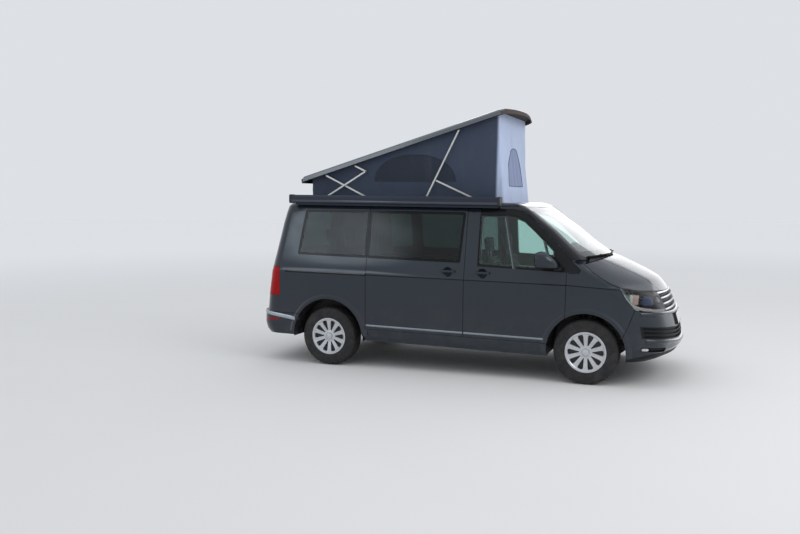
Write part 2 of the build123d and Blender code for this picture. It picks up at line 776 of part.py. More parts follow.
def seat(outline, low_y, high_y, heads, base):
    """A bench or chair: side outline, head rests and the box under it."""
    with BuildPart() as chair:
        with BuildSketch(Plane.XZ.offset(-low_y)) as side:
            with BuildLine():
                Polyline(*outline, close=True)
            make_face()
            fillet(side.vertices(), 28)
        extrude(amount=low_y - high_y)
        add(block((base[0], low_y + 30, FLOOR_TOP), (base[1], high_y - 30, base[2])))
        for x, y, z in heads:
            with BuildSketch(Plane.XZ.offset(-(y - 130))):
                with Locations((x, z)):
                    RectangleRounded(90, 190, 35)
            extrude(amount=-260)
            with Locations((x + 8, y, z - 110)):
                Box(18, 120, 100)
    return chair.part


front_seat = seat(FRONT_SEAT_SIDE, -665, -165, [(362, -415, 1440)], (540, 900, 840))
rear_bench = seat(
    BENCH_SIDE, -700, 340, [(-1640, -440, 1490), (-1640, 80, 1490)], (-1480, -1000, 840)
)
wheel_boxes = [across(*axles["rear"][0], REAR_ARCH + 18, *ends) for ends in ((-900, -604), (604, 900))]

with BuildPart() as kitchen_unit:
    add(block((-1330, 400, FLOOR_TOP), (-150, 790, 1190)))
    add(block((-1900, 430, FLOOR_TOP), (-1325, 790, 1740)))
    for low_x in (-1300, -920, -540):
        with Locations((low_x + 180, 400, 880)):
            Box(350, 8, 560, mode=Mode.SUBTRACT)
kitchen_piece = cut(common(kitchen_unit.part, form_floor), *wheel_boxes)

wheel_tilt = Plane(origin=STEERING_AT, x_dir=(0, 1, 0), z_dir=STEERING_AXIS)
with BuildPart() as steering_wheel:
    with BuildSketch(Plane.XZ.offset(0)):
        with Locations((STEERING_R, 0)):
            Circle(15)
    revolve(axis=Axis.Z)
    with BuildSketch(Plane.XY.offset(-30)):
        Circle(60)
    extrude(amount=34)
    with BuildSketch(Plane.XY.offset(-14)):
        Rectangle(2 * STEERING_R - 10, 34)
        with Locations((0, -STEERING_R / 2)):
            Rectangle(34, STEERING_R - 10)
    extrude(amount=14)
    with BuildSketch(Plane.XY.offset(-COLUMN_END)):
        Circle(22)
    extrude(amount=COLUMN_END - 28)

# Engine, underneath and axles, at their places on the standing van
with BuildPart() as engine_block:
    with Locations((1850, 0, 690)):
        Box(440, 620, 520)
    chamfer(engine_block.edges(), 25)

with BuildPart() as front_subframe:
    with Locations((1544, 0, 292)):
        Box(200, 860, 60)
    with Locations((1760, 330, 320), (1760, -330, 320)):
        Box(420, 70, 60)
    for side in (-1, 1):
        with Locations((1544, side * 535, 250)):
            Box(90, 250, 36)
        with Locations((1544, side * 425, 270)):
            Box(90, 60, 60)


def steering_axis_y(z):
    """Distance from the middle of the inclined steering axis at a height."""
    return BALL_Y - (z - BALL_Z) * math.tan(math.radians(STEERING_LEAN))


def knuckle_right():
    """Hub carrier, brake shield and spring strut of the right front wheel."""
    with BuildPart() as knuckle:
        for low_z, high_z, radius in STRUT_STEPS:
            foot = (FRONT_AXLE_X, -steering_axis_y(low_z), low_z)
            lean = math.radians(STEERING_LEAN)
            along = Plane(origin=foot, x_dir=(1, 0, 0), z_dir=(0, math.sin(lean), math.cos(lean)))
            with BuildSketch(along):
                Circle(radius)
            extrude(amount=(high_z - low_z) / math.cos(lean))
        add(across(FRONT_AXLE_X, TYRE_RADIUS, 60, -742, -655))
        add(across(FRONT_AXLE_X, TYRE_RADIUS, 135, -748, -740))
        add(across(FRONT_AXLE_X, TYRE_RADIUS, STUB_RADIUS, -808, -740))
    return knuckle.part


with BuildPart() as rear_axle:
    add(across(-1330, 330, 42, -560, 560))
    with Locations((-1130, 0, 372)):
        Box(90, 980, 44)
    for side in (-1, 1):
        with BuildSketch(Plane.XZ.offset(-side * 555 + 25)):
            with BuildLine():
                Polyline((-1500, 300), (-1500, 385), (-1300, 372), (-1090, 394), (-1090, 352),
                         (-1300, 300), close=True)
            make_face()
        extrude(amount=-50)
        add(across(REAR_AXLE_X, TYRE_RADIUS, 55, side * 560, side * 700))
        add(across(REAR_AXLE_X, TYRE_RADIUS, 135, side * 740, side * 748))
        add(across(REAR_AXLE_X, TYRE_RADIUS, STUB_RADIUS, side * 690, side * 808))
        with BuildSketch(Plane.XY.offset(360)):
            with Locations((-1330, side * 555)):
                Circle(48)
        extrude(amount=145)

with BuildPart() as exhaust:
    with BuildLine() as pipe:
        Polyline(*PIPE_PATH)
    with BuildSketch(Plane(origin=PIPE_PATH[0], z_dir=(-1, 0, 0))):
        Circle(PIPE_RADIUS)
    sweep(path=pipe.line, transition=Transition.RIGHT)
    with BuildSketch(Plane.YZ.offset(-2180)):
        with Locations((90, 370)):
            RectangleRounded(520, 190, 60)
    extrude(amount=330)
    with BuildSketch(Plane.YZ.offset(300)):
        with Locations((250, 340)):
            RectangleRounded(150, 100, 40)
    extrude(amount=480)


# Wheels, drawn about the middle with the outer face toward +Y
with BuildPart() as rim_outward:
    with BuildSketch(Plane.XY):
        with BuildLine():
            Polyline(*RIM_PROFILE, close=True)
        make_face()
    revolve(axis=Axis.Y)
    with BuildSketch(Plane.XZ.offset(-SLOT_FLOOR_Y)):
        with PolarLocations(0, 10):
            Polygon(*SLOT_OUTLINE, align=None)
    extrude(amount=-60, mode=Mode.SUBTRACT)

with BuildPart() as tyre_outward:
    with BuildSketch(Plane.XY):
        with BuildLine():
            Polyline(*TYRE_PROFILE, close=True)
        make_face()
    revolve(axis=Axis.Y)


def save_wheel(corner, x, side):
    """The rim and the tyre of one corner of the van."""
    for kind, piece in (("rim", rim_outward.part), ("tyre", tyre_outward.part)):
        turned = piece if side > 0 else piece.rotate(Axis.Z, 180)
        save(f"{kind}_{corner}", turned.translate((x, side * TRACK / 2, TYRE_RADIUS)))


save_on_body("underbody", underbody)
save_on_body("wheel_housings", wheel_housings)
save_on_body("cowl", cowl)
save_on_body("roof_shell", roof_shell.part.rotate(roof_axis, -ROOF_OPEN_DEG))
save_on_body("tent_canvas", cut(canvas_prism(0, 0), canvas_prism(CANVAS_WALL, 40)))
for name, (start, end, lane) in ARMS.items():
    save_on_body(name, arm_pair(start, end, lane))
save_on_body("awning_case", awning_case.part)
save_on_body("dashboard", dashboard_piece)
save_on_body("front_seats", joined(front_seat, mirrored(front_seat)))
save_on_body("rear_bench", cut(rear_bench, *wheel_boxes))
save_on_body("kitchen_unit", kitchen_piece)
save_on_body("steering_wheel", wheel_tilt.location * steering_wheel.part)
save_on_body("engine_block", engine_block.part)
save("front_subframe", front_subframe.part)
save("knuckle_right", knuckle_right())
save("knuckle_left", mirrored(knuckle_right()))
save("rear_axle", rear_axle.part)
save("exhaust", exhaust.part)
for corner, x, side in (
    ("front_right", FRONT_AXLE_X, -1), ("front_left", FRONT_AXLE_X, 1),
    ("rear_right", REAR_AXLE_X, -1), ("rear_left", REAR_AXLE_X, 1),
):
    save_wheel(corner, x, side)
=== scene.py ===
"""Camper van with a pop-up roof: finishes, trims, lamps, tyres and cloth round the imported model."""

import json
import math

import bmesh
import bpy
import numpy as np
from mathutils import Matrix, Vector
from mathutils.bvhtree import BVHTree

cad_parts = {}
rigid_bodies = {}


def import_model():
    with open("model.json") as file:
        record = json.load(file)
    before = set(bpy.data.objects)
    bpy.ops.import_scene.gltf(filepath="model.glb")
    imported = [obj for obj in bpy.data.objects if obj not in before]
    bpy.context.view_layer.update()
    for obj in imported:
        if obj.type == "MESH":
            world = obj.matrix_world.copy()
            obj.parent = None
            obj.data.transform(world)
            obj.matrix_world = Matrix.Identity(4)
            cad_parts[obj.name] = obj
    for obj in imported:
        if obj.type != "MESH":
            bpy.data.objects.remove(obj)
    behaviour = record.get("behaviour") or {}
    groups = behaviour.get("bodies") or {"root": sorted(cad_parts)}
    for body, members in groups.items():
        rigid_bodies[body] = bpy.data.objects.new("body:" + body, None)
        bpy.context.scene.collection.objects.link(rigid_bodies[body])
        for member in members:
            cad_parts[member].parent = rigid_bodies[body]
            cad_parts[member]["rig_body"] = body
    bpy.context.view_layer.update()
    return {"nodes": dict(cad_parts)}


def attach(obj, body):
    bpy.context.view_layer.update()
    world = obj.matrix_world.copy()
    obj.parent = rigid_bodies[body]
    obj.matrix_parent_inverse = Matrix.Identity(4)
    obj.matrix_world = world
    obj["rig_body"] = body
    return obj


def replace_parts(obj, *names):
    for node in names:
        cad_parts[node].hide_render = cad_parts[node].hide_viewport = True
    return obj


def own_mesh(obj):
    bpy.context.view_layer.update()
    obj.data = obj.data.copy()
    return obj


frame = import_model()
NODES = frame["nodes"]
scene = bpy.context.scene

# The body stands nose down by this angle about this line
RAKE = math.radians(1.08)
RAKE_X, RAKE_Z = 0.044, 1.100
COS, SIN = math.cos(RAKE), math.sin(RAKE)

# Where rays toward the van start, beside it and ahead of or behind it, and how far they reach
BESIDE, BEYOND, REACH = 1.3, 3.4, 4.0

# The sides of the van, the wheels' middles, and how far out the middle of a front seat is
SIDES = ((-1, "right"), (1, "left"))
AXLE_X, TRACK, WHEEL_Z = {"front": 1.544, "rear": -1.456}, 0.814, 0.343
SEAT_Y = 0.415


def put(x, y, z):
    """A place in the level body, in metres, moved to where it stands."""
    dx, dz = x - RAKE_X, z - RAKE_Z
    return Vector((RAKE_X + dx * COS + dz * SIN, y, RAKE_Z - dx * SIN + dz * COS))


def put_way(x, y, z):
    """A direction in the level body, turned to how it stands."""
    return Vector((x * COS + z * SIN, y, -x * SIN + z * COS))


def level(p):
    """A standing place, given in the level body."""
    dx, dz = p[0] - RAKE_X, p[2] - RAKE_Z
    return Vector((RAKE_X + dx * COS - dz * SIN, p[1], RAKE_Z + dx * SIN + dz * COS))


# The open roof, its hinge line and the foot of the tent, in the level body
HINGE_X, HINGE_Z, OPEN = -2.620, 1.960, math.radians(16.95)
BASE_Z, BASE_X, TOP_X = 1.915, (-1.841, 0.572), (-1.846, 0.506)
HALF, CORNER = 0.600, 0.032
CLOTH_BELOW = 0.003

# Arched windows of the tent: middle, half width, lower edge and height
SIDE_ARCH = (-0.501, 0.503, 2.150, 0.304)
FRONT_ARCH = (0.0, 0.33, 2.105, 0.44)
ARCH_POWER = 2.3

# Window outlines, length then height, and width then height at both ends of the body
FRONT_WINDOW = [
    (0.369, 1.234), (1.215, 1.210), (1.215, 1.428), (1.188, 1.452), (1.003, 1.628),
    (0.872, 1.739), (0.780, 1.775), (0.690, 1.790), (0.359, 1.790),
]
SLIDING_WINDOW = [(0.167, 1.252), (0.198, 1.810), (-0.962, 1.810), (-0.962, 1.262)]
QUARTER_WINDOW = [(-0.960, 1.262), (-0.960, 1.810), (-1.801, 1.806), (-1.865, 1.271)]
WINDSCREEN = [(-0.795, 1.372), (-0.706, 1.862), (0.706, 1.862), (0.795, 1.372)]
TAIL_WINDOW = [(-0.655, 1.262), (-0.590, 1.780), (0.590, 1.780), (0.655, 1.262)]

# Heights of the bright bars of the grille and of the dark band below it
GRILLE_BARS = [(0.820, 0.8365), (0.877, 0.893), (0.935, 0.951), (0.987, 1.004)]
INTAKE = (0.506, 0.628)

# Outlines of the fog lamp's recess, distance out then height, and of the headlamp's wedge, length then height
FOG_RECESS = [(0.680, 0.408), (0.905, 0.425), (0.902, 0.464), (0.700, 0.450)]
LAMP_WEDGE = [(1.890, 1.060), (1.990, 1.030), (2.080, 0.840), (2.020, 0.840)]

# Colours, and finishes that are laid over body paint
DARK, FLAKE = (0.0135, 0.0205, 0.0310), 0.45
# PILLAR_SHADE is painted shade for body-coloured pillars and edges; the seal and print blacks are real colours
PILLAR_SHADE, SEAL_BLACK, PRINT_BLACK = (0.009, 0.0105, 0.014), (0.010, 0.010, 0.011), (0.006, 0.006, 0.007)
TINTED = (0.09, 0.135, 0.13)
BLACKED = {"Roughness": 0.25, "Metallic": 0.0, "Coat_Weight": 0.15}
GRAINED = {"Roughness": 0.52, "Metallic": 0.0, "Coat_Weight": 0.0}

# A slot named for each finish that the scene's pieces use
SLOTS = {
    "awning_metal": "lead_metal",
    "bar_metal": "strip_metal bumper_metal mirror_glass chrome",
    "black_gloss": "black_gloss divider_grey",
    "black_plastic": "black_plastic soft_black",
    "black_steel": "black_steel",
    "body_paint": "trim_paint",
    "cabinet": "plate_white worktop cabinet",
    "canvas": "canvas tent_seam",
    "lamp_lens": "projector lamp_smoke strip_glow lamp_white",
    "red_lens": "red_lens",
    "seat_fabric": "seat_cloth seam_cloth belt_cloth",
    "tyre": "tyre_rubber",
}
SLOT_OF = {finish: slot for slot, finishes in SLOTS.items() for finish in finishes.split()}


def shut(p):
    """A standing place on the open roof, given where it lies with the roof shut."""
    q = level(p)
    dx, dz = q.x - HINGE_X, q.z - HINGE_Z
    c, s = math.cos(OPEN), math.sin(OPEN)
    return Vector((HINGE_X + dx * c + dz * s, q.y, HINGE_Z - dx * s + dz * c))


class Graph:
    """A node tree, built up step by step."""

    def __init__(self, tree):
        self.tree = tree

    def link(self, a, b):
        self.tree.links.new(a, b)

    def node(self, kind, inputs=None, **values):
        """A node with its settings, and with the numbers or links that its inputs get."""
        made = self.tree.nodes.new(kind)
        for key, value in values.items():
            setattr(made, key, value)
        for key, value in (inputs or {}).items():
            if isinstance(value, bpy.types.NodeSocket):
                self.link(value, made.inputs[key])
            else:
                made.inputs[key].default_value = value
        return made

    def ramp(self, value, low, high, out_low=0.0, out_high=1.0, kind="SMOOTHSTEP"):
        numbers = {"From Min": low, "From Max": high, "To Min": out_low, "To Max": out_high}
        made = self.node("ShaderNodeMapRange", {"Value": value, **numbers}, interpolation_type=kind)
        return made.outputs["Result"]

    def math(self, operation, a, b=0.0):
        return self.node("ShaderNodeMath", {0: a, 1: b}, operation=operation).outputs[0]

    def dot(self, vector, numbers):
        made = self.node("ShaderNodeVectorMath", {0: vector, 1: numbers}, operation="DOT_PRODUCT")
        return made.outputs["Value"]


class Paint(Graph):
    """One procedural material."""

    def __init__(self, name, color, rough=0.5, metal=0.0, **sockets):
        self.name = name
        self.material = bpy.data.materials.new(name)
        self.material.use_nodes = True
        super().__init__(self.material.node_tree)
        self.shader = self.tree.nodes["Principled BSDF"]
        color = (*color, 1.0)
        self.material.diffuse_color = color
        for key, value in {"Base_Color": color, "Roughness": rough, "Metallic": metal, **sockets}.items():
            self.shader.inputs[key.replace("_", " ")].default_value = value
        self.coords = self.node("ShaderNodeTexCoord").outputs["Object"]
        self.normal = None

    def noise(self, scale, detail=3.0, rough=0.5, stretch=(1, 1, 1), source=None):
        mapping = self.node("ShaderNodeMapping", {"Scale": stretch, "Vector": source or self.coords})
        made = self.node("ShaderNodeTexNoise", {"Scale": scale, "Detail": detail, "Roughness": rough,
                                                "Vector": mapping.outputs["Vector"]})
        return made.outputs["Fac"]

    def cells(self, scale, output="Distance"):
        return self.node("ShaderNodeTexVoronoi", {"Scale": scale, "Vector": self.coords}).outputs[output]

    def wave(self, direction, scale, distortion=0.0):
        made = self.node("ShaderNodeTexWave", {"Scale": scale, "Distortion": distortion, "Vector": self.coords},
                         bands_direction=direction)
        return made.outputs["Fac"]

    def axis(self, name, source=None):
        return self.node("ShaderNodeSeparateXYZ", {0: source or self.coords}).outputs[name]

    def spot(self, place, key):
        """One coordinate of a place that is worked out from the standing one."""
        zero, along, up = (place(p)[key] for p in ((0, 0, 0), (1, 0, 0), (0, 0, 1)))
        return self.math("ADD", self.dot(self.coords, (along - zero, 0, up - zero)), zero)

    def band(self, value, low, high, soft=0.0008):
        """1 between two values and 0 outside them."""
        return self.both(self.ramp(value, low - soft, low + soft), self.ramp(value, high + soft, high - soft))

    def both(self, *masks, operation="MULTIPLY"):
        found = masks[0]
        for mask in masks[1:]:
            found = self.math(operation, found, mask)
        return found

    def either(self, *masks):
        return self.both(*masks, operation="MAXIMUM")

    def inside(self, u, v, outline, margin=0.0, soft=0.0016):
        """1 where a place lies inside an outline by more than a margin, and 0 elsewhere."""
        flat = self.node("ShaderNodeCombineXYZ", {0: u, 1: v, 2: 1.0}).outputs[0]
        edges = list(zip(outline, outline[1:] + outline[:1]))
        turn = math.copysign(1, sum(a * d - b * c for (a, b), (c, d) in edges))
        depths = []
        for (a, b), (c, d) in edges:
            size = math.hypot(c - a, d - b) * turn
            across, up = (b - d) / size, (c - a) / size
            depths.append(self.dot(flat, (across, up, -(across * a + up * b))))
        return self.ramp(self.both(*depths, operation="MINIMUM"), margin, margin + soft)

    def mix(self, name, fac, value, kind="FLOAT"):
        """Mixes a value over what a socket of the shader has, by a factor."""
        socket = self.shader.inputs[name]
        under = socket.links[0].from_socket if socket.is_linked else socket.default_value
        made = self.node("ShaderNodeMix", {"Factor": fac, "A": under, "B": value}, data_type=kind)
        self.link(made.outputs["Result"], socket)

    def tint(self, fac, color):
        self.mix("Base Color", fac, (*color, 1.0), "RGBA")

    def cover(self, fac, color, **values):
        """Lays another finish over what there is by a factor."""
        self.tint(fac, color)
        for key, value in values.items():
            self.mix(key.replace("_", " "), fac, value)

    def mottle(self, scale, detail, low, high, most, color):
        """Mixes another colour in here and there."""
        self.tint(self.ramp(self.noise(scale, detail), low, high, 0, most), color)

    def vary(self, socket, fac, low, high):
        """Runs a socket between two values by a factor."""
        self.link(self.ramp(fac, 0.25, 0.75, low, high), self.shader.inputs[socket])

    def bump(self, height, strength, distance):
        made = self.node("ShaderNodeBump", {"Strength": strength, "Distance": distance, "Height": height})
        if self.normal:
            self.link(self.normal, made.inputs["Normal"])
        self.normal = made.outputs["Normal"]
        self.link(self.normal, self.shader.inputs["Normal"])


def shade(color, factor, add=0.0):
    """A colour made darker or brighter."""
    return [min(1, c * factor + add) for c in color]


def body_paint(name, color=DARK, flake=FLAKE):
    """Metallic paint under clear coat, with road dust low down."""
    made = Paint(name, color, 0.34, flake, Coat_Weight=1.0, Coat_Roughness=0.03, Coat_IOR=1.42,
                 Specular_IOR_Level=0.2)
    bright = made.axis("X", made.cells(900, "Color"))
    made.tint(made.ramp(bright, 0.75, 1.0, 0, 0.35), shade(color, 2.6))
    made.mottle(1.3, 2, 0.35, 0.75, 0.25, shade(color, 0.8))
    dust = made.both(made.ramp(made.axis("Z"), 0.95, 0.30), made.ramp(made.noise(7, 6, 0.65), 0.35, 0.8), 0.12)
    made.tint(dust, (0.16, 0.135, 0.11))
    made.vary("Roughness", made.noise(3, 4), 0.30, 0.42)
    made.bump(made.noise(260, 2), 0.05, 0.0004)
    return made


def plastic(name, color, rough=0.55, grain=420, depth=0.35):
    """Moulded plastic with fine grain."""
    made = Paint(name, color, rough)
    made.mottle(4, 4, 0.3, 0.8, 0.4, shade(color, 1.5, 0.006))
    made.vary("Roughness", made.noise(9, 3), rough - 0.08, rough + 0.1)
    made.bump(made.cells(grain), depth, 0.0006)
    return made


def gloss(name, color, rough=0.12, **sockets):
    """Smooth lacquer or lens with faint wear."""
    made = Paint(name, color, rough, **sockets)
    made.mottle(6, 4, 0.4, 0.8, 0.3, shade(color, 1.3, 0.004))
    made.vary("Roughness", made.noise(14, 3), max(0.02, rough - 0.05), rough + 0.08)
    return made


def metal(name, color, rough=0.3, grain=(1, 1, 30), weight=1.0, **sockets):
    """Brushed or drawn metal."""
    made = Paint(name, color, rough, weight, **sockets)
    brushed = made.noise(60, 4, 0.6, grain)
    made.mottle(5, 4, 0.35, 0.8, 0.5, shade(color, 0.72))
    made.vary("Roughness", brushed, rough - 0.08, rough + 0.12)
    made.bump(brushed, 0.12, 0.0004)
    return made


def cloth(name, color, thread=700.0, sheen=0.25, rough=0.88):
    """Woven fabric: two crossing threads with uneven colour."""
    made = Paint(name, color, rough, Sheen_Weight=sheen, Sheen_Roughness=0.5)
    weave = made.both(*[made.wave(way, thread / 6.28, 1.0) for way in "ZX"])
    made.mottle(3.5, 5, 0.3, 0.8, 0.5, shade(color, 0.78))
    made.tint(made.ramp(weave, 0.1, 0.9, 0, 0.3), shade(color, 1.4))
    made.bump(weave, 0.35, 0.0006)
    return made


def glass(name, color, margin=0.0, upright=(), across=(), **sockets):
    """A pane with a trace of dust, and a black printed edge round its outlines."""
    sockets = {"Transmission_Weight": 1.0, "IOR": 1.48, "Coat_Roughness": 0.0, **sockets}
    made = Paint(name, color, 0.0, **sockets)
    made.mottle(5, 5, 0.5, 0.9, 0.25, shade(color, 0.8))
    made.vary("Roughness", made.noise(11, 5), 0.0, 0.02)
    rims = [(made.spot(level, 0), outline) for outline in upright]
    rims += [(made.axis("Y"), outline) for outline in across]
    if rims:
        z = made.spot(level, 2)
        open_part = made.either(*[made.inside(u, z, outline, margin) for u, outline in rims])
        made.tint(made.math("SUBTRACT", 1.0, open_part), PRINT_BLACK)
        made.link(open_part, made.shader.inputs["Transmission Weight"])
    return made


def marked(made, marks, place=level):
    """A finish with what a function draws on it by length, height and distance from the middle plane."""
    marks(made, made.spot(place, 0), made.spot(place, 2), made.math("ABSOLUTE", made.axis("Y")))
    return made


def shaded_shoulder_line(made, x, z, out):
    """Painted shade: a dark line along the sharp shoulder line of the van's side, where the crease's step
    throws shade.
    """
    fall = made.ramp(x, 1.40, 1.85, 1.0675, 1.0485, "LINEAR")
    near = made.band(made.math("SUBTRACT", z, fall), -0.0045, 0.0045, 0.0016)
    line = made.both(near, made.ramp(out, 0.900, 0.905))
    made.cover(line, (0.006, 0.007, 0.009), Roughness=0.5, Coat_Weight=0.0)


def door_marks(made, x, z, out):
    """The frame round a front window, body colour painted dark for the shade and dark reflections on it, and
    the black foot and rim of its mirror.
    """
    # Painted shade: the door's body-coloured frame above the waist line is darkened
    waist = made.ramp(x, 0.362, 1.300, 1.222, 1.199, "LINEAR")
    shaded_window_frame = made.both(made.ramp(x, 0.360, 0.364), made.ramp(made.math("SUBTRACT", z, waist), 0, 0.002),
                             made.ramp(out, 0.953, 0.950))
    mirror = made.ramp(out, 0.953, 0.956)
    foot = made.both(mirror, made.ramp(z, 1.2625, 1.2605))
    rim = made.both(mirror, made.ramp(x, 1.0500, 1.0485))
    shaded_shoulder_line(made, x, z, out)
    made.cover(made.either(shaded_window_frame, foot, rim), (0.006, 0.0065, 0.008), **BLACKED)


def side_marks(made, x, z, out):
    """Painted shade: the windscreen pillar darkened for its shade and dark reflections, the dark shoulder line,
    and the slot of the sliding door's rail painted black for the shade inside it, with a little of the skin
    round it.
    """
    # Painted shade on the body-coloured windscreen pillar
    pillar = made.both(made.ramp(x, 0.66, 0.68), made.ramp(z, 1.325, 1.335))
    made.cover(pillar, PILLAR_SHADE, **BLACKED)
    shaded_shoulder_line(made, x, z, made.both(out, made.ramp(x, -0.960, -0.955)))
    # Painted shade: the rail's slot and the skin at its lips are made black
    shaded_rail_slot = made.both(made.band(z, 1.0560, 1.0800), made.band(x, -2.014, -0.962))
    made.cover(shaded_rail_slot, (0.005, 0.005, 0.006), **GRAINED)


def bonnet_marks(made, x, z, out):
    """The two raised lines that run down the bonnet."""
    line = made.ramp(x, 1.620, 2.215, 0.520, 0.432, "LINEAR")
    made.bump(made.ramp(made.math("SUBTRACT", line, out), -0.012, 0.012), 1.0, 0.004)


def roof_edge_marks(made, x, z, out):
    """Painted shade: the body-coloured edges over the front doors, darkened for the shade and dark reflections
    there.
    """
    # Painted shade on the roof frame's edges
    made.cover(made.both(made.ramp(x, 0.30, 0.32), made.ramp(out, 0.688, 0.694)), PILLAR_SHADE, **BLACKED)


def nose_marks(made, x, z, out):
    """The dark intake, lamp recesses and lower edge of the front bumper."""
    ahead = made.ramp(x, 2.096, 2.100)
    lifted = made.math("SUBTRACT", z, made.ramp(out, 0.300, 0.892, 0, 0.052, "LINEAR"))
    intake = made.both(made.band(lifted, *INTAKE), ahead, made.ramp(out, 0.905, 0.903))
    recess = made.both(made.inside(out, z, FOG_RECESS, -0.004), ahead)
    edge = made.ramp(x, 2.00, 2.22, 0.335, 0.400, "LINEAR")
    foot = made.ramp(made.math("SUBTRACT", z, edge), 0.001, -0.001)
    made.cover(made.either(intake, recess, foot), (0.010, 0.010, 0.0115), **GRAINED)


def tail_marks(made, x, z, out):
    """The black plate recess."""
    recess = made.both(made.band(z, 0.7015, 0.8285), made.ramp(out, 0.3295, 0.3285),
                       made.ramp(x, -2.362, -2.358))
    made.cover(recess, (0.012, 0.012, 0.013), **GRAINED)


def roof_marks(made, x, z, out):
    """The black seal round the roof's rim and the warm grey lining under it."""
    lining = made.both(made.ramp(z, 1.9635, 1.9630), made.ramp(out, 0.6575, 0.6570))
    front = made.both(made.ramp(x, 0.700, 0.704), made.ramp(z, 1.9740, 1.9732))
    made.cover(made.either(made.ramp(z, 1.9270, 1.9262), front), SEAL_BLACK, **GRAINED)
    made.cover(lining, (0.085, 0.068, 0.064), Roughness=0.85, Metallic=0.0, Coat_Weight=0.0)


def grille_marks(made, x, z, out):
    """The bright bars of the grille."""
    bars = made.either(*[made.band(z, low, high) for low, high in GRILLE_BARS])
    made.cover(bars, (0.70, 0.72, 0.75), Metallic=0.75, Roughness=0.22, Specular_IOR_Level=0.5)


def lamp_marks(made, x, z, out):
    """The pale wedge at a lamp's rear tip and its pale orange block."""
    beside = made.ramp(out, 0.776, 0.780)
    block = made.both(made.band(x, 2.010, 2.066), made.band(z, 0.893, 0.997), beside)
    made.cover(made.both(made.inside(x, z, LAMP_WEDGE), beside), (0.50, 0.56, 0.52), Roughness=0.2)
    made.cover(block, (0.50, 0.36, 0.31), Roughness=0.25)
    made.tint(made.both(block, made.ramp(made.wave("X", 30.0), 0.4, 0.6, 0, 0.5)), (0.30, 0.18, 0.14))


def red_marks(made, x, z, out):
    """The ribs of a tail lamp, and its orange and its pale band."""
    ribs = made.wave("Z", 22.0)
    made.tint(made.ramp(ribs, 0.35, 0.65, 0, 0.55), (0.20, 0.004, 0.006))
    made.mottle(8, 3, 0.4, 0.8, 0.3, (0.50, 0.008, 0.008))
    inward = made.ramp(out, 0.872, 0.868)
    made.tint(made.both(made.band(z, 0.985, 1.050), inward), (0.62, 0.25, 0.05))
    made.tint(made.both(made.band(z, 0.850, 0.905), inward), (0.62, 0.60, 0.58))
    made.bump(ribs, 0.25, 0.002)


def wheel_marks(made, x, z, out):
    """Silver on the outer face of the wheel cover, over black steel."""
    face = made.ramp(out, 0.8755, 0.8790)
    made.tint(face, (0.56, 0.575, 0.60))
    grime = made.both(face, made.ramp(made.noise(28, 5, 0.6), 0.45, 0.85, 0, 0.35))
    made.tint(grime, (0.30, 0.28, 0.26))
    made.link(made.ramp(face, 0, 1, 0.2, 0.75), made.shader.inputs["Metallic"])
    made.link(made.ramp(made.noise(20, 3), 0.3, 0.8, 0.28, 0.46), made.shader.inputs["Roughness"])
    made.bump(made.noise(300, 2), 0.05, 0.0004)


def awning_marks(made, x, z, out):
    """The black end caps of the awning's case."""
    made.cover(made.either(made.ramp(x, -1.9436, -1.9444), made.ramp(x, 0.5826, 0.5834)), SEAL_BLACK, **GRAINED)


def rubber(name):
    """Rubber with dry earth rubbed into it."""
    made = Paint(name, (0.016, 0.016, 0.017), 0.82)
    made.tint(made.ramp(made.noise(9, 6, 0.6), 0.42, 0.85, 0, 0.55), (0.070, 0.062, 0.054))
    made.vary("Roughness", made.noise(30, 3), 0.7, 0.92)
    made.bump(made.noise(160, 4), 0.4, 0.0008)
    return made


paint = body_paint("paint")
trim_paint = body_paint("trim_paint")
door_paint = marked(body_paint("door_paint"), door_marks)
side_paint = marked(body_paint("side_paint"), side_marks)
sliding_paint = marked(body_paint("sliding_paint"), shaded_shoulder_line)
bonnet_paint = marked(body_paint("bonnet_paint"), bonnet_marks)
roof_edge_paint = marked(body_paint("roof_edge_paint"), roof_edge_marks)
nose_paint = marked(body_paint("nose_paint"), nose_marks)
tail_paint = marked(body_paint("tail_paint"), tail_marks)
roof_paint = marked(body_paint("roof_paint", (0.105, 0.118, 0.135), 0.3), roof_marks, shut)
grille_black = marked(gloss("grille_black", PRINT_BLACK, 0.42, Specular_IOR_Level=0.15), grille_marks)
lamp_black = marked(gloss("lamp_black", (0.008, 0.009, 0.012), 0.30, Specular_IOR_Level=0.2), lamp_marks)
red_lens = marked(Paint("red_lens", (0.40, 0.003, 0.004), 0.20, Coat_Weight=0.12, Coat_Roughness=0.02,
                        Specular_IOR_Level=0.1), red_marks)
wheel_silver = marked(Paint("wheel_silver", (0.016, 0.016, 0.018), 0.45, 0.2), wheel_marks)
awning_metal = marked(metal("awning_metal", (0.007, 0.014, 0.034), 0.34, (0.3, 30, 30), 0.3,
                            Coat_Weight=0.15), awning_marks)
tyre_rubber = rubber("tyre_rubber")
black_plastic = plastic("black_plastic", (0.016, 0.016, 0.017))
soft_black = plastic("soft_black", SEAL_BLACK, 0.7, 600)
dash_plastic = plastic("dash_plastic", (0.026, 0.027, 0.030), 0.6, 500)
trim_grey = plastic("trim_grey", (0.115, 0.115, 0.112), 0.6, 450)
cabinet = plastic("cabinet", (0.42, 0.41, 0.39), 0.5, 300, 0.1)
worktop = plastic("worktop", (0.10, 0.10, 0.105), 0.4, 500, 0.1)
plate_white = plastic("plate_white", (0.66, 0.66, 0.64), 0.4, 200, 0.1)
chrome = metal("chrome", (0.72, 0.74, 0.77), 0.10, (1, 1, 1))
mirror_glass = metal("mirror_glass", (0.85, 0.87, 0.88), 0.04, (1, 1, 1))
satin_bar = metal("satin_bar", (0.56, 0.55, 0.53), 0.34, (1, 30, 1), 0.85)
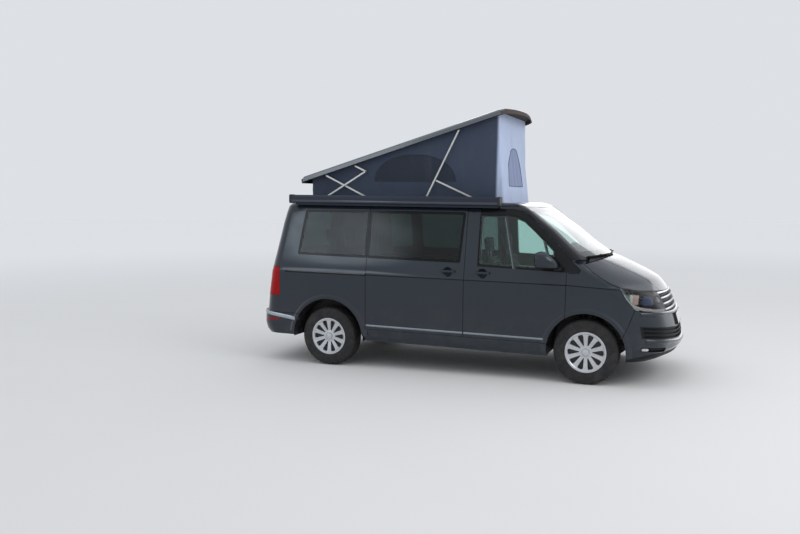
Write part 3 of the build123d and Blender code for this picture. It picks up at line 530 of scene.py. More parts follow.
strip_metal = metal("strip_metal", (0.26, 0.295, 0.325), 0.30, (1, 1, 30), 0.7)
bumper_metal = metal("bumper_metal", (0.42, 0.47, 0.52), 0.28, (1, 1, 30), 0.7)
lead_metal = metal("lead_metal", (0.045, 0.052, 0.068), 0.28, (0.3, 30, 30), 0.5, Coat_Weight=0.5)
cast = metal("cast", (0.16, 0.16, 0.17), 0.6, (1, 1, 1), 0.5)
black_steel = metal("black_steel", (0.022, 0.022, 0.024), 0.5, (1, 1, 1), 0.2)
pipe_steel = metal("pipe_steel", (0.30, 0.28, 0.26), 0.45, (30, 1, 1))
door_glass = glass("door_glass", (0.60, 0.80, 0.75), 0.018, [FRONT_WINDOW], IOR=1.40, Specular_IOR_Level=0.35)
screen_glass = glass("screen_glass", (0.80, 0.90, 0.87), 0.040, across=[WINDSCREEN], Coat_Weight=0.5)
privacy_glass = glass("privacy_glass", TINTED, 0.030, [SLIDING_WINDOW, QUARTER_WINDOW], IOR=1.36,
                      Specular_IOR_Level=0.3)
tail_glass = glass("tail_glass", TINTED, 0.030, across=[TAIL_WINDOW], IOR=1.36, Specular_IOR_Level=0.3)
lamp_lens = glass("lamp_lens", (0.97, 0.98, 0.99), IOR=1.22)
black_gloss = gloss("black_gloss", (0.009, 0.009, 0.011), 0.10, Coat_Weight=0.6)
divider_grey = gloss("divider_grey", (0.10, 0.145, 0.15), 0.3)
strip_glow = gloss("strip_glow", (0.40, 0.36, 0.35), 0.2)
lamp_white = gloss("lamp_white", (0.72, 0.76, 0.74), 0.18)
lamp_smoke = gloss("lamp_smoke", (0.16, 0.17, 0.18), 0.15)
projector = gloss("projector", (0.010, 0.026, 0.090), 0.03, Coat_Weight=0.2, Specular_IOR_Level=0.3)
seat_cloth = cloth("seat_cloth", (0.055, 0.058, 0.064))
seat_side = cloth("seat_side", (0.028, 0.029, 0.032), 500)
headliner = cloth("headliner", (0.40, 0.39, 0.37), 400)
belt_cloth = cloth("belt_cloth", (0.018, 0.018, 0.019), 900, 0.1, 0.6)
carpet = cloth("carpet", (0.05, 0.05, 0.052), 250, 0.1, 0.95)
seam_cloth = cloth("seam_cloth", (0.12, 0.122, 0.13), 500)
tent_seam = cloth("tent_seam", (0.030, 0.040, 0.064), 500)

FINISHES = [
    (door_paint, "front_door_left front_door_right"),
    (side_paint, "body_side_left body_side_right"),
    (sliding_paint, "sliding_door"),
    (bonnet_paint, "bonnet"),
    (roof_edge_paint, "roof_frame"),
    (nose_paint, "front_bumper"),
    (tail_paint, "tailgate"),
    (roof_paint, "roof_shell"),
    (screen_glass, "windscreen"),
    (door_glass, "front_door_glass_left front_door_glass_right"),
    (privacy_glass, "side_glass sliding_door_glass"),
    (tail_glass, "tailgate_glass"),
    (lamp_lens, "headlamp_lenses"),
    (lamp_black, "headlamps"),
    (red_lens, "tail_lamps"),
    (grille_black, "grille"),
    (black_plastic, "cowl underbody wheel_housings"),
    (awning_metal, "awning_case"),
    (dash_plastic, "dashboard steering_wheel"),
    (seat_cloth, "front_seats rear_bench"),
    (cabinet, "kitchen_unit"),
    (cast, "engine_block"),
    (black_steel, "front_subframe rear_axle knuckle_left knuckle_right"),
    (pipe_steel, "exhaust"),
    (satin_bar, "lift_arms lift_links scissor_arms scissor_links cross_arms"),
    (wheel_silver, "rim_front_left rim_front_right rim_rear_left rim_rear_right"),
    (tyre_rubber, "tyre_front_left tyre_front_right tyre_rear_left tyre_rear_right"),
]
FINISH = {name: finish for finish, names in FINISHES for name in names.split()}
for name, node in NODES.items():
    node.data.materials.clear()
    node.data.materials.append(FINISH.get(name, paint).material)
    node.data.polygons.foreach_set("material_index", [0] * len(node.data.polygons))


def line_inside(names, finish, chosen):
    """Gives another finish to the faces of nodes that pass a test of their middle and direction."""
    for name in names:
        mesh = NODES[name].data
        mesh.materials.append(finish.material)
        for face in mesh.polygons:
            if chosen(level(face.center), face.normal):
                face.material_index = 1


def faces_in(p, n):
    return n.y * p.y < -0.3 * abs(p.y) and p.z > 0.50 and abs(p.y) < 0.905 and p.x < 1.45


SIDE_PANELS = ["front_door_left", "front_door_right", "sliding_door", "body_side_left", "body_side_right"]
line_inside(SIDE_PANELS, trim_grey, faces_in)
line_inside(["roof_frame"], headliner, lambda p, n: n.z < -0.3)
line_inside(["tailgate"], trim_grey, lambda p, n: n.x > 0.5)
line_inside(["underbody"], carpet, lambda p, n: n.z > 0.9 and p.z > 0.54)


def smooth_group(limit_deg):
    """Geometry nodes that join split edges and shade smooth up to an angle."""
    group = bpy.data.node_groups.new(f"smooth_{limit_deg}", "GeometryNodeTree")
    for way in ("INPUT", "OUTPUT"):
        group.interface.new_socket("Geometry", in_out=way, socket_type="NodeSocketGeometry")
    made = Graph(group)

    def step(kind, before, inputs, **values):
        return made.node(kind, {"Geometry": before, **inputs}, **values).outputs["Geometry"]

    shape = made.node("NodeGroupInput").outputs[0]
    shape = step("GeometryNodeRemoveAttribute", shape, {"Name": "custom_normal"})
    shape = step("GeometryNodeMergeByDistance", shape, {"Distance": 0.00002})
    shape = step("GeometryNodeSetShadeSmooth", shape, {}, domain="FACE")
    angle = made.node("GeometryNodeInputMeshEdgeAngle").outputs["Unsigned Angle"]
    over = made.node("FunctionNodeCompare", {0: angle, 1: math.radians(limit_deg)}, data_type="FLOAT",
                     operation="GREATER_THAN")
    sharp = {"Selection": over.outputs["Result"], "Shade Smooth": False}
    shape = step("GeometryNodeSetShadeSmooth", shape, sharp, domain="EDGE")
    made.node("NodeGroupOutput", {0: shape})
    return group


smooth_cad = smooth_group(30)
for node in NODES.values():
    node.modifiers.new("smooth", "NODES").node_group = smooth_cad


def add_piece(name, verts, faces, finish, body="body", slot=None, sharp=35):
    """A mesh that rides on a body, shaded smooth up to an angle."""
    slot = slot or SLOT_OF[finish.name]
    mesh = bpy.data.meshes.new(name)
    mesh.from_pydata([tuple(v) for v in verts], [], [tuple(f) for f in faces])
    mesh.update()
    made = bpy.data.objects.new(name, mesh)
    scene.collection.objects.link(made)
    mesh.materials.append(finish.material)
    mesh.polygons.foreach_set("use_smooth", [True] * len(mesh.polygons))
    mesh.set_sharp_from_angle(angle=math.radians(sharp))
    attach(made, body)
    return made


def trim(name, parts, finish, body="body", **values):
    """Several vertex and face lists as one piece."""
    return add_piece(name, *joined(parts), finish, body, **values)


def joined(parts):
    """Several vertex and face lists as one."""
    verts, faces = [], []
    for v, f in parts:
        base = len(verts)
        verts += list(v)
        faces += [tuple(base + i for i in face) for face in f]
    return verts, faces


def spread(low, high, count):
    return [low + (high - low) * k / (count - 1) for k in range(count)]


def round_turn(count):
    """Angles once round, in radians."""
    return [2 * math.pi * k / count for k in range(count)]


def ring_faces(rings, count):
    """Quads between neighbouring rings of points."""
    return [
        (r * count + c, r * count + (c + 1) % count, (r + 1) * count + (c + 1) % count, (r + 1) * count + c)
        for r in range(rings - 1)
        for c in range(count)
    ]


def domed_faces(rings, count):
    """Quads between rings of points, and a fan from the last ring to one more point."""
    base = (rings - 1) * count
    return ring_faces(rings, count) + [(base + k, base + (k + 1) % count, base + count) for k in range(count)]


def swept(rings):
    """Vertices and faces of closed rings of points that follow each other, with both ends closed."""
    count = len(rings[0])
    verts = [v for ring in rings for v in ring]
    faces = ring_faces(len(rings), count)
    faces.append(tuple(reversed(range(count))))
    faces.append(tuple(range(len(verts) - count, len(verts))))
    return verts, faces


def tube(points, radius, sides=10, flat=1.0):
    """Rings round a path of points, with ring planes across it."""
    points = [Vector(p) for p in points]
    rings, up = [], Vector((0, 0, 1))
    for i, p in enumerate(points):
        ahead = points[min(i + 1, len(points) - 1)] - points[max(i - 1, 0)]
        ahead.normalize()
        side = ahead.cross(up)
        if side.length < 0.05:
            side = ahead.cross(Vector((0, 1, 0)))
        side.normalize()
        over = side.cross(ahead)
        size = radius[i] if isinstance(radius, (list, tuple)) else radius
        rings.append([
            p + side * math.cos(a) * size + over * math.sin(a) * size * flat for a in round_turn(sides)
        ])
    return swept(rings)


def rounded_box(low, high, radius=0.004, place=put):
    """A box with bevelled edges, in the level body."""
    mesh = bmesh.new()
    bmesh.ops.create_cube(mesh, size=1.0)
    middle = [(a + b) / 2 for a, b in zip(low, high)]
    for v in mesh.verts:
        v.co = Vector([m + c * (b - a) for m, c, a, b in zip(middle, v.co, low, high)])
    bmesh.ops.bevel(mesh, geom=list(mesh.edges), offset=radius, segments=2, profile=0.5, affect="EDGES")
    verts = [place(*v.co) for v in mesh.verts]
    mesh.verts.index_update()
    faces = [tuple(v.index for v in f.verts) for f in mesh.faces]
    mesh.free()
    return verts, faces


def tree_of(*names):
    """A search tree over CAD nodes, for placing trims on their skin."""
    verts, faces = [], []
    for name in names:
        base = len(verts)
        verts += [v.co.copy() for v in NODES[name].data.vertices]
        faces += [[base + i for i in p.vertices] for p in NODES[name].data.polygons]
    return BVHTree.FromPolygons(verts, faces)


def body_side(side):
    """The search tree over one side of the van."""
    word = dict(SIDES)[side]
    names = [f"front_door_{word}", f"body_side_{word}", f"front_door_glass_{word}", "side_glass",
             "front_bumper", "rear_bumper", "bonnet", "tail_lamps"]
    if side < 0:
        names += ["sliding_door", "sliding_door_glass"]
    return tree_of(*names)


SIDE_TREES = {side: body_side(side) for side, _ in SIDES}


def skin_y(side, x, z, default=0.94):
    """How far out the van's side is at a place in the level body."""
    start = put(x, side * BESIDE, z)
    found = SIDE_TREES[side].ray_cast(start, Vector((0, -side, 0)), 1.0)
    return found[0].y if found[0] else side * default


nose_tree = tree_of("front_bumper", "grille", "bonnet", "headlamp_lenses")
lens_tree = tree_of("headlamp_lenses")
tail_tree = tree_of("tailgate", "rear_bumper", "tailgate_glass", "tail_lamps")
screen_tree = tree_of("windscreen")


def surface(tree, start, way):
    """Where a straight line first meets the skin, and the outward direction there, in the level body."""
    found = tree.ray_cast(put(*start), put_way(*way), REACH)
    if not found[0]:
        raise ValueError(f"no skin found from {start}")
    n = found[1]
    outward = Vector((n.x * COS - n.z * SIN, n.y, n.x * SIN + n.z * COS))
    return level(found[0]), outward if outward.dot(Vector(way)) < 0 else -outward


def nose(y, z, tree=nose_tree):
    return surface(tree, (BEYOND, y, z), (-1, 0, 0))


def tail(y, z):
    return surface(tail_tree, (-BEYOND, y, z), (1, 0, 0))


def flank(side, x, z, tree=None):
    return surface(tree or SIDE_TREES[side], (x, side * BESIDE, z), (0, -side, 0))


def turned(centre, across, up):
    """Turns places measured across, up and out of a small part into where they stand."""
    across, up = Vector(across).normalized(), Vector(up).normalized()
    out = across.cross(up)
    return lambda u, v, w: put(*(Vector(centre) + across * u + up * v + out * w))


def moulding(points, high, proud, sink=0.005):
    """A rounded bar that follows places on the skin, given with their outward directions."""
    rings = []
    last = len(points) - 1
    for k, (p, out) in enumerate(points):
        size = 0.35 if k in (0, last) else 1.0
        tall = Vector((0, 0, 1)) - out * out.z
        tall.normalize()
        rings.append([
            put(*(p + out * (proud * size * math.sin(a)) + tall * (high / 2 * math.cos(a))))
            for a in spread(0, math.pi, 7)
        ] + [put(*(p - out * sink - tall * high / 2)), put(*(p - out * sink + tall * high / 2))])
    return swept(rings)


def bulged(value, power):
    """A cosine or sine for a ring that is squarer than a circle."""
    return math.copysign(abs(value) ** (2 / power), value)


def lozenge(place, half_u, half_v, thick, power=5.0, sides=40, crown=0.0):
    """A plate with round corners: a rim, a slightly smaller face and a crowned middle."""
    ring = [
        (half_u * bulged(math.cos(a), power), half_v * bulged(math.sin(a), power)) for a in round_turn(sides)
    ]
    rows = [(1.0, 0.0), (1.0, thick * 0.6), (0.97, thick)]
    rows += [(0.62, thick + crown * 0.6), (0.3, thick + crown * 0.9)]
    verts = [place(u * size, v * size, w) for size, w in rows for u, v in ring]
    verts.append(place(0, 0, thick + crown))
    return verts, domed_faces(len(rows), sides) + [tuple(reversed(range(sides)))]


def facing(p, out):
    """Directions for a small part that looks outward."""
    across = Vector((0, 0, 1)).cross(out)
    return turned(p, across, out.cross(across))


# Bright strips low on the sides


def side_strip(name, body, side, ends, z=0.481, high=0.024, proud=0.007):
    """A rounded moulding that follows the skin along the van."""
    rings = []
    for x in spread(*ends, 24):
        y = skin_y(side, x, z)
        size = 0.4 if x in ends else 1.0
        rings.append([
            put(x, y + side * (proud * size * math.sin(a) - 0.002), z + high / 2 * math.cos(a))
            for a in spread(0, math.pi, 7)
        ] + [put(x, y - side * 0.006, z - high / 2), put(x, y - side * 0.006, z + high / 2)])
    add_piece(name, *swept(rings), strip_metal, body)


FRONT_STRIP, MIDDLE_STRIP = (0.226, 1.112), (-0.954, 0.213)
side_strip("strip_door_right", "front_door_right", -1, FRONT_STRIP)
side_strip("strip_sliding_door", "body", -1, MIDDLE_STRIP)
side_strip("strip_door_left", "front_door_left", 1, FRONT_STRIP)
side_strip("strip_side_left", "body", 1, MIDDLE_STRIP)

# Tent


def under_roof(x):
    """Height of the cloth's upper edge, just below the open roof, at a length."""
    return HINGE_Z + (x - HINGE_X) * math.tan(OPEN) - CLOTH_BELOW / math.cos(OPEN)


def cloth_loop(rear, front, along=220, across=110, corner_count=9):
    """Plan of the tent: points and outward normals round a rectangle with round corners."""
    points = []
    corners = [(front - CORNER, -HALF + CORNER, -90), (front - CORNER, HALF - CORNER, 0),
               (rear + CORNER, HALF - CORNER, 90), (rear + CORNER, -HALF + CORNER, 180)]
    for k, (cx, cy, start) in enumerate(corners):
        for turn in spread(0, 90, corner_count):
            a = math.radians(start + turn)
            points.append((cx + CORNER * math.cos(a), cy + CORNER * math.sin(a), math.cos(a), math.sin(a)))
        nx, ny, _ = corners[(k + 1) % 4]
        a = math.radians(start + 90)
        sx, sy = cx + CORNER * math.cos(a), cy + CORNER * math.sin(a)
        ex, ey = nx + CORNER * math.cos(a), ny + CORNER * math.sin(a)
        count = along if k % 2 else across
        for t in [j / count for j in range(1, count)]:
            points.append((sx + (ex - sx) * t, sy + (ey - sy) * t, math.cos(a), math.sin(a)))
    return points


def folds(x, y, t, nx, ny):
    """How far the cloth stands out from its flat wall, in metres."""
    side_wall = abs(ny)
    to_front = BASE_X[1] - x
    sag = -0.016 * math.sin(math.pi * t) * (1 - 0.5 * side_wall)
    drift = 0.0035 * math.sin(3.1 * x + 5 * t + 1.7 * y) + 0.0022 * math.sin(7.3 * x - 4 * t + 4.1 * y + 1.1)
    pleat = 0.0
    if side_wall > 0.5:
        pleat += 0.004 * math.exp(-to_front / 0.10) * math.sin(70 * to_front + 3 * t)
        pleat += 0.0025 * math.exp(-((t - 0.1) / 0.12) ** 2) * math.sin(24 * x + 2 * y)
    else:
        near = abs(abs(y) - HALF)
        pull = math.exp(-near / 0.13)
        pleat += (0.0065 * pull * math.sin(95 * near + 9 * t + (2 if y < 0 else 0))
                  * math.sin(math.pi * min(1, t * 1.3)))
        pleat += 0.003 * math.sin(38 * y + 6 * t) * math.exp(-((t - 0.55) / 0.4) ** 2)
    edge = min(1.0, 6 * t, 6 * (1 - t) + 0.15)
    return min(0.004, (sag + drift + pleat) * edge)


def tent_surface(loop_low, loop_high, rows):
    """The bellows: rows of points from the base up to the roof, in the level body."""
    points = []
    for r in range(rows + 1):
        t = r / rows
        for (x0, y0, nx, ny), (x1, y1, _, _) in zip(loop_low, loop_high):
            x, y = x0 + (x1 - x0) * t, y0 + (y1 - y0) * t
            z = BASE_Z + (under_roof(x1) - BASE_Z) * t
            out = folds(x, y, t, nx, ny)
            flare = 0.006 * max(0.0, 1 - t / 0.05) * max(0.0, nx)
            points.append((x + nx * (out + flare), y + ny * out, z))
    return points


def canvas_material():
    """Woven canvas with darker mesh windows; its base colour is painted dark for the shade on the tent's sides,
    and its front is painted paler for the light that falls on it.
    """
    # Painted shade: the base colour is darkened for the shade on the tent's sides
    made = cloth("canvas", (0.045, 0.062, 0.102), 900, 0.12)
    rest = made.node("ShaderNodeAttribute", attribute_name="rest_place")
    x, y, z = (made.axis(k, rest.outputs["Vector"]) for k in "XYZ")
    side = made.math("GREATER_THAN", made.math("ABSOLUTE", y), 0.575)
    front = made.math("GREATER_THAN", x, 0.47)

    def arch(along, centre, half, bottom, height, wall):
        run = made.math("DIVIDE", made.math("SUBTRACT", along, centre), half)
        rise = made.math("DIVIDE", made.math("SUBTRACT", z, bottom), height)
        ring = made.math("ADD", made.math("POWER", made.math("ABSOLUTE", run), ARCH_POWER),
                         made.math("POWER", made.math("MAXIMUM", rise, 0.0), 2.0))
        return made.both(made.ramp(ring, 1.0, 0.97), made.ramp(rise, 0.0, 0.01), wall)

    # Painted light: the front wall is made paler than the sides for the light falling on it
    made.tint(made.both(made.ramp(x, 0.46, 0.50), 0.92), (0.55, 0.64, 0.86))
    made.tint(made.both(arch(x, *SIDE_ARCH, side), 0.78), (0.014, 0.021, 0.037))
    # The front window is tinted paler than the side windows, as part of the painted light on the front
    made.tint(made.both(arch(y, *FRONT_ARCH, front), 0.75), (0.16, 0.21, 0.38))
    streaks = made.noise(9, 4, 0.6, (1, 1, 0.25), rest.outputs["Vector"])
    made.tint(made.ramp(streaks, 0.45, 0.8, 0, 0.16), (0.11, 0.12, 0.15))
    made.bump(made.noise(60, 4, 0.6, (1, 1, 1), rest.outputs["Vector"]), 0.25, 0.002)
    return made


def make_tent(rows=60):
    """The cloth bellows."""
    low = cloth_loop(*BASE_X)
    points = tent_surface(low, cloth_loop(*TOP_X), rows)
    tent = add_piece("tent_cloth", [put(*p) for p in points], ring_faces(rows + 1, len(low)), canvas_material(),
                     sharp=70)
    place = tent.data.attributes.new("rest_place", "FLOAT_VECTOR", "POINT")
    place.data.foreach_set("vector", [c for p in points for c in p])
    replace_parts(tent, "tent_canvas")
    return tent


# The tent, and the pieces that are laid on it
SQUASHED = [make_tent()]
tent_tree = BVHTree.FromObject(SQUASHED[0], bpy.context.evaluated_depsgraph_get())


def piping(name, points, radius=0.0035):
    SQUASHED.append(add_piece(name, *tube([put(*p) for p in points], radius, 6), tent_seam))


def on_tent(start, way, back=0.0015):
    """A place on the cloth, this far outside it, in the level body."""
    found = tent_tree.ray_cast(put(*start), put_way(*way), 2.0)
    p = level(found[0]) if found[0] else Vector(start)
    return tuple(p - Vector(way) * back)


def window_piping(name, arch, place, count=48):
    """Piping round an arched window; place lays a point of the outline on the cloth."""
    centre, half, low, height = arch
    points = []
    for a in spread(0, math.pi, count):
        points.append(place(centre + half * bulged(math.cos(a), ARCH_POWER), low + height * math.sin(a)))
    bottom = [place(along, low) for along in spread(centre + half, centre - half, 24)]
    piping(name, points + bottom[::-1][1:])


for side, word in SIDES:
    def wall(x, z):
        return on_tent((x, side * 1.0, z), (0, -side, 0))

    window_piping(f"side_window_piping_{word}", SIDE_ARCH, wall)
    piping(f"side_hem_{word}", [wall(x, 1.935) for x in spread(-1.80, 0.53, 60)], 0.003)
window_piping("front_window_piping", FRONT_ARCH, lambda y, z: on_tent((1.2, y, z), (-1, 0, 0)))

for piece in SQUASHED:
    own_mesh(piece)

# Bars across the front door windows

# Outlines of the dark bar and of the pale edge behind it, length then height
DIVIDER = [(0.642, 1.788), (0.662, 1.788), (0.796, 1.214), (0.774, 1.214)]
DIVIDER_EDGE = [(0.628, 1.788), (0.641, 1.788), (0.773, 1.214), (0.759, 1.214)]


def skin_patch(name, outline, side, finish, body, lift=0.0012, step=0.03):
    """A thin cover laid on the skin inside an outline of length and height."""
    mesh = bmesh.new()
    loop = [mesh.verts.new((x, 0, z)) for x, z in outline]
    mesh.faces.new(loop)
    bmesh.ops.triangulate(mesh, faces=list(mesh.faces))
    for _ in range(4):
        long_edges = [e for e in mesh.edges if e.calc_length() > step]
        if long_edges:
            bmesh.ops.subdivide_edges(mesh, edges=long_edges, cuts=1)
            bmesh.ops.triangulate(mesh, faces=list(mesh.faces))
    mesh.verts.index_update()
    top = [Vector((v.co.x, skin_y(side, v.co.x, v.co.z) + side * lift, v.co.z)) for v in mesh.verts]
    faces = [tuple(v.index for v in f.verts) for f in mesh.faces]
    mesh.free()
    if side > 0:
        faces = [tuple(reversed(f)) for f in faces]
    add_piece(name, [put(*p) for p in top], faces, finish, body)


for side, word in SIDES:
    skin_patch(f"window_bar_{word}", DIVIDER, side, black_gloss, f"front_door_{word}")
    skin_patch(f"window_bar_edge_{word}", DIVIDER_EDGE, side, divider_grey, f"front_door_{word}")

# Lamps

# Lamp balls: how far out, height, half width, half height and finish, and the places of the light strip
PROJECTORS = [(0.772, 0.941, 0.092, 0.053, projector), (0.572, 0.935, 0.030, 0.034, lamp_smoke)]
STRIP_SIDE = [(2.006, 0.906), (2.052, 0.868), (2.100, 0.851), (2.150, 0.842), (2.200, 0.836)]
STRIP_FRONT = [(0.800, 0.829), (0.740, 0.826), (0.680, 0.824), (0.620, 0.823), (0.560, 0.822), (0.532, 0.821)]
# How far ahead of a lamp ball rays toward the lamp's cover start
BEFORE_LAMP = 0.15


def lamp_ball(centre, out, half_u, half_v, low=0.0235, high=0.007, rings=9, sides=40):
    """A bulging lens that keeps under the lamp's cover: deepest at its rim, nearest at its middle."""
    place = facing(centre, out)
    back = -put_way(*out)
    verts = []
    for r in range(rings):
        size = 1 - r / rings
        for a in round_turn(sides):
            start = place(half_u * size * math.cos(a), half_v * size * math.sin(a), BEFORE_LAMP)
            found = lens_tree.ray_cast(start, back, 0.4)
            deep = high + (low - high) * size ** 2.4
            verts.append((found[0] if found[0] else start + back * BEFORE_LAMP) + back * deep)
    found = lens_tree.ray_cast(place(0, 0, BEFORE_LAMP), back, 0.4)
    verts.append(found[0] + back * high)
    return verts, domed_faces(rings, sides)


for side, word in SIDES:
    for k, (y, z, half_u, half_v, finish) in enumerate(PROJECTORS):
        p, out = nose(side * y, z, lens_tree)
        add_piece(f"projector_{k}_{word}", *lamp_ball(p, out, half_u, half_v), finish)
    line = [flank(side, x, z, lens_tree) for x, z in STRIP_SIDE]
    line += [nose(side * y, z, lens_tree) for y, z in STRIP_FRONT]
    points = [put(*(p - out * 0.015 + Vector((0, 0, 0.007)))) for p, out in line]
    sizes = [0.005, 0.009] + [0.0095] * (len(points) - 3) + [0.005]
    add_piece(f"light_strip_{word}", *tube(points, sizes, 12, 1.9), strip_glow, sharp=60)
    p, out = nose(side * 0.868, 0.439)
    add_piece(f"fog_lamp_{word}", *lozenge(facing(p, out), 0.044, 0.015, 0.003, 3.0, 36, 0.004), lamp_white)
    reflector = [flank(side, x, z) for x, z in zip(spread(-2.110, -2.285, 9), spread(0.488, 0.466, 9))]
    trim(f"rear_reflector_{word}", [moulding(reflector, 0.020, 0.004)], red_lens)

# Bright line round the rear bumper

LINE_START, LINE_END = -1.850, -2.330


def bumper_side(side, start, end):
    """Places along one end of the bumper's bright line, which climbs to the rear."""
    return [flank(side, x, 0.496 + (LINE_START - x) * 0.125) for x in spread(start, end, 16)]


around = bumper_side(-1, LINE_START, LINE_END)
around += [tail(y, 0.5555) for y in spread(-0.840, 0.840, 30)]
around += bumper_side(1, LINE_END, LINE_START)
trim("rear_bumper_line", [moulding(around, 0.044, 0.005)], bumper_metal)

# Shoulder and lip of the front bumper, in body colour


def nose_line(low_z, rise):
    """Places across the nose, from the right lamp corner to the left one."""
    return [nose(y, low_z + rise * max(0.0, (abs(y) - 0.30) / 0.585)) for y in spread(-0.885, 0.885, 45)]


trim("bumper_shoulder", [moulding(nose_line(0.778, 0.026), 0.042, 0.017)], trim_paint)
trim("bumper_lip", [moulding(nose_line(0.474, 0.054), 0.052, 0.021)], trim_paint)

# Liners that close the wheel openings behind the skin

# Axle: radius, inner and outer edge, thickness, and degrees that the ends reach below the wheel's middle
LINERS = {"front": (0.415, 0.620, 0.934, 0.005, 2), "rear": (0.450, 0.640, 0.934, 0.005, 3)}
for axle, (radius, inner, outer, thick, spill) in LINERS.items():
    centre = level((AXLE_X[axle], 0, WHEEL_Z))
    for side, word in SIDES:
        corners = [(radius, inner), (radius, outer), (radius + thick, outer), (radius + thick, inner)]
        rings = [
            [put(centre.x + r * math.cos(a), side * y, centre.z + r * math.sin(a)) for r, y in corners]
            for a in spread(math.radians(-spill), math.radians(180 + spill), 49)
        ]
        trim(f"arch_liner_{axle}_{word}", [swept(rings)], soft_black, sharp=50)

# Plates, handle and top lamp

low_point, high_point = nose(0, 0.648)[0], nose(0, 0.752)[0]
place = turned((low_point + high_point) / 2 + Vector((0.003, 0, 0)), (0, 1, 0), high_point - low_point)
trim("front_plate_holder", [rounded_box((-0.268, -0.062, -0.024), (0.268, 0.062, 0.003), 0.003, place)],
     black_plastic)
trim("front_plate", [rounded_box((-0.260, -0.055, 0.0025), (0.260, 0.055, 0.0055), 0.001, place)], plate_white)
place = turned((-2.3525, 0, 0.765), (0, -1, 0), (0, 0, 1))
trim("rear_plate", [rounded_box((-0.260, -0.055, 0.001), (0.260, 0.055, 0.005), 0.001, place)], plate_white,
     "tailgate")
handle = [tail(y, 0.858) for y in spread(-0.210, 0.210, 13)]
trim("rear_handle", [moulding(handle, 0.030, 0.013)], black_plastic, "tailgate")
trim("plate_lamps", [rounded_box((y - 0.03, 0.052, 0.002), (y + 0.03, 0.062, 0.02), 0.002, place)
                     for y in (-0.12, 0.12)], lamp_white, "tailgate")
brake_lamp = [tail(y, 1.809) for y in spread(-0.170, 0.170, 13)]
trim("top_brake_lamp", [moulding(brake_lamp, 0.020, 0.007)], red_lens, "tailgate")

# Mirror glass and black rails

for side, word in SIDES:
    place = turned((1.0395, side * 1.046, 1.326), (0, -1, 0), (0, 0, 1))
    add_piece(f"mirror_glass_{word}", *lozenge(place, 0.076, 0.056, 0.0012, 4.0, 40), mirror_glass,
              f"front_door_{word}")
    rail = [(Vector((x, side * 0.9300, 1.070)), Vector((0, side, 0))) for x in spread(-2.000, -0.975, 20)]
    trim(f"side_rail_{word}", [moulding(rail, 0.022, 0.0035, 0.001)], black_gloss)

# Awning lead rail and seams

trim("awning_lead_rail", [rounded_box((-1.940, -0.9275, 1.895), (0.580, -0.9180, 1.921), 0.004)], lead_metal)
trim("awning_seam", [rounded_box((-1.940, -0.9232, 1.944), (0.580, -0.9200, 1.948), 0.001)], soft_black)

# Wipers


def screen(y, z):
    """A place a little below the windscreen's edge, in line with the glass."""
    p, out = surface(screen_tree, (3.0, y, z), (-1, 0, 0))
    return p + Vector((out.z, 0, -out.x)) * 0.028, out


def wiper(name, pivot, blade_ends, along, body, surface_at, up):
    """A blade that follows the glass, and its arm from a pivot to the blade's middle."""
    ends = [Vector(e) for e in blade_ends]
    middle = ends[0] + (ends[1] - ends[0]) * along
    blade, back = [], []
    for t in spread(0, 1, 16):
        y, z = ends[0] + (ends[1] - ends[0]) * t
        p, out = surface_at(y, z)
        blade.append(put(*(p + out * 0.007)))
        back.append(put(*(p + out * 0.013)))
    p, out = surface_at(*middle)
    joint = p + out * 0.020
    start = Vector(pivot)
    arm = [put(*(start + (joint - start) * t + Vector(up) * (0.005 * math.sin(math.pi * t))))
           for t in spread(0, 1, 8)]
    parts = [
        tube(blade, 0.0035, 8, 1.6),
        tube(back, [0.003] + [0.0045] * 14 + [0.003], 8, 0.8),
        tube(arm, [0.009, 0.008, 0.007, 0.006, 0.005, 0.0045, 0.004, 0.004], 8, 0.7),
        tube([put(*(joint + Vector((0, d, 0)))) for d in (-0.025, 0.025)], 0.006, 8, 0.8),
        tube([put(*(start - Vector(up) * 0.022)), put(*(start + Vector(up) * 0.006))], [0.013, 0.011], 12),
    ]
    trim(name, parts, soft_black, body, sharp=50)


for word, pivot, ends in (("right", (1.650, -0.190, 1.350), (-0.735, -0.130)),
                          ("left", (1.612, 0.520, 1.334), (-0.070, 0.560))):
    wiper(f"wiper_{word}", pivot, [(y, 1.374) for y in ends], 0.45, "body", screen, (0.3, 0, 0.95))
p, out = tail(0.0, 1.228)
wiper("rear_wiper", p + out * 0.030, [(0.060, 1.322), (0.470, 1.330)], 0.5, "tailgate", tail, (-0.9, 0, 0.2))

# Pins of the roof bars

# Both ends of each bar, length then height, and how far out they are
PINS = {
    "lift_arms": ((-0.368, 1.900), (0.045, 2.724), 0.650),
    "lift_links": ((-0.236, 2.164), (0.362, 1.903), 0.635),
    "scissor_arms": ((-1.712, 1.900), (-1.104, 2.259), 0.650),
    "scissor_links": ((-1.104, 2.259), (-1.258, 2.330), 0.620),
    "cross_arms": ((-0.962, 1.900), (-1.630, 2.214), 0.635),
}
for name, (foot, head, out) in PINS.items():
    heads = []
    for side, _ in SIDES:
        for x, z in (foot, head):
            pin = facing(Vector((x, side * (out - 0.0002), z)), Vector((0, side, 0)))
            heads.append(lozenge(pin, 0.0065, 0.0065, 0.0014, 2.0, 16, 0.001))
    trim(f"pins_{name}", heads, black_steel, NODES[name]["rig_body"])

# Cushions

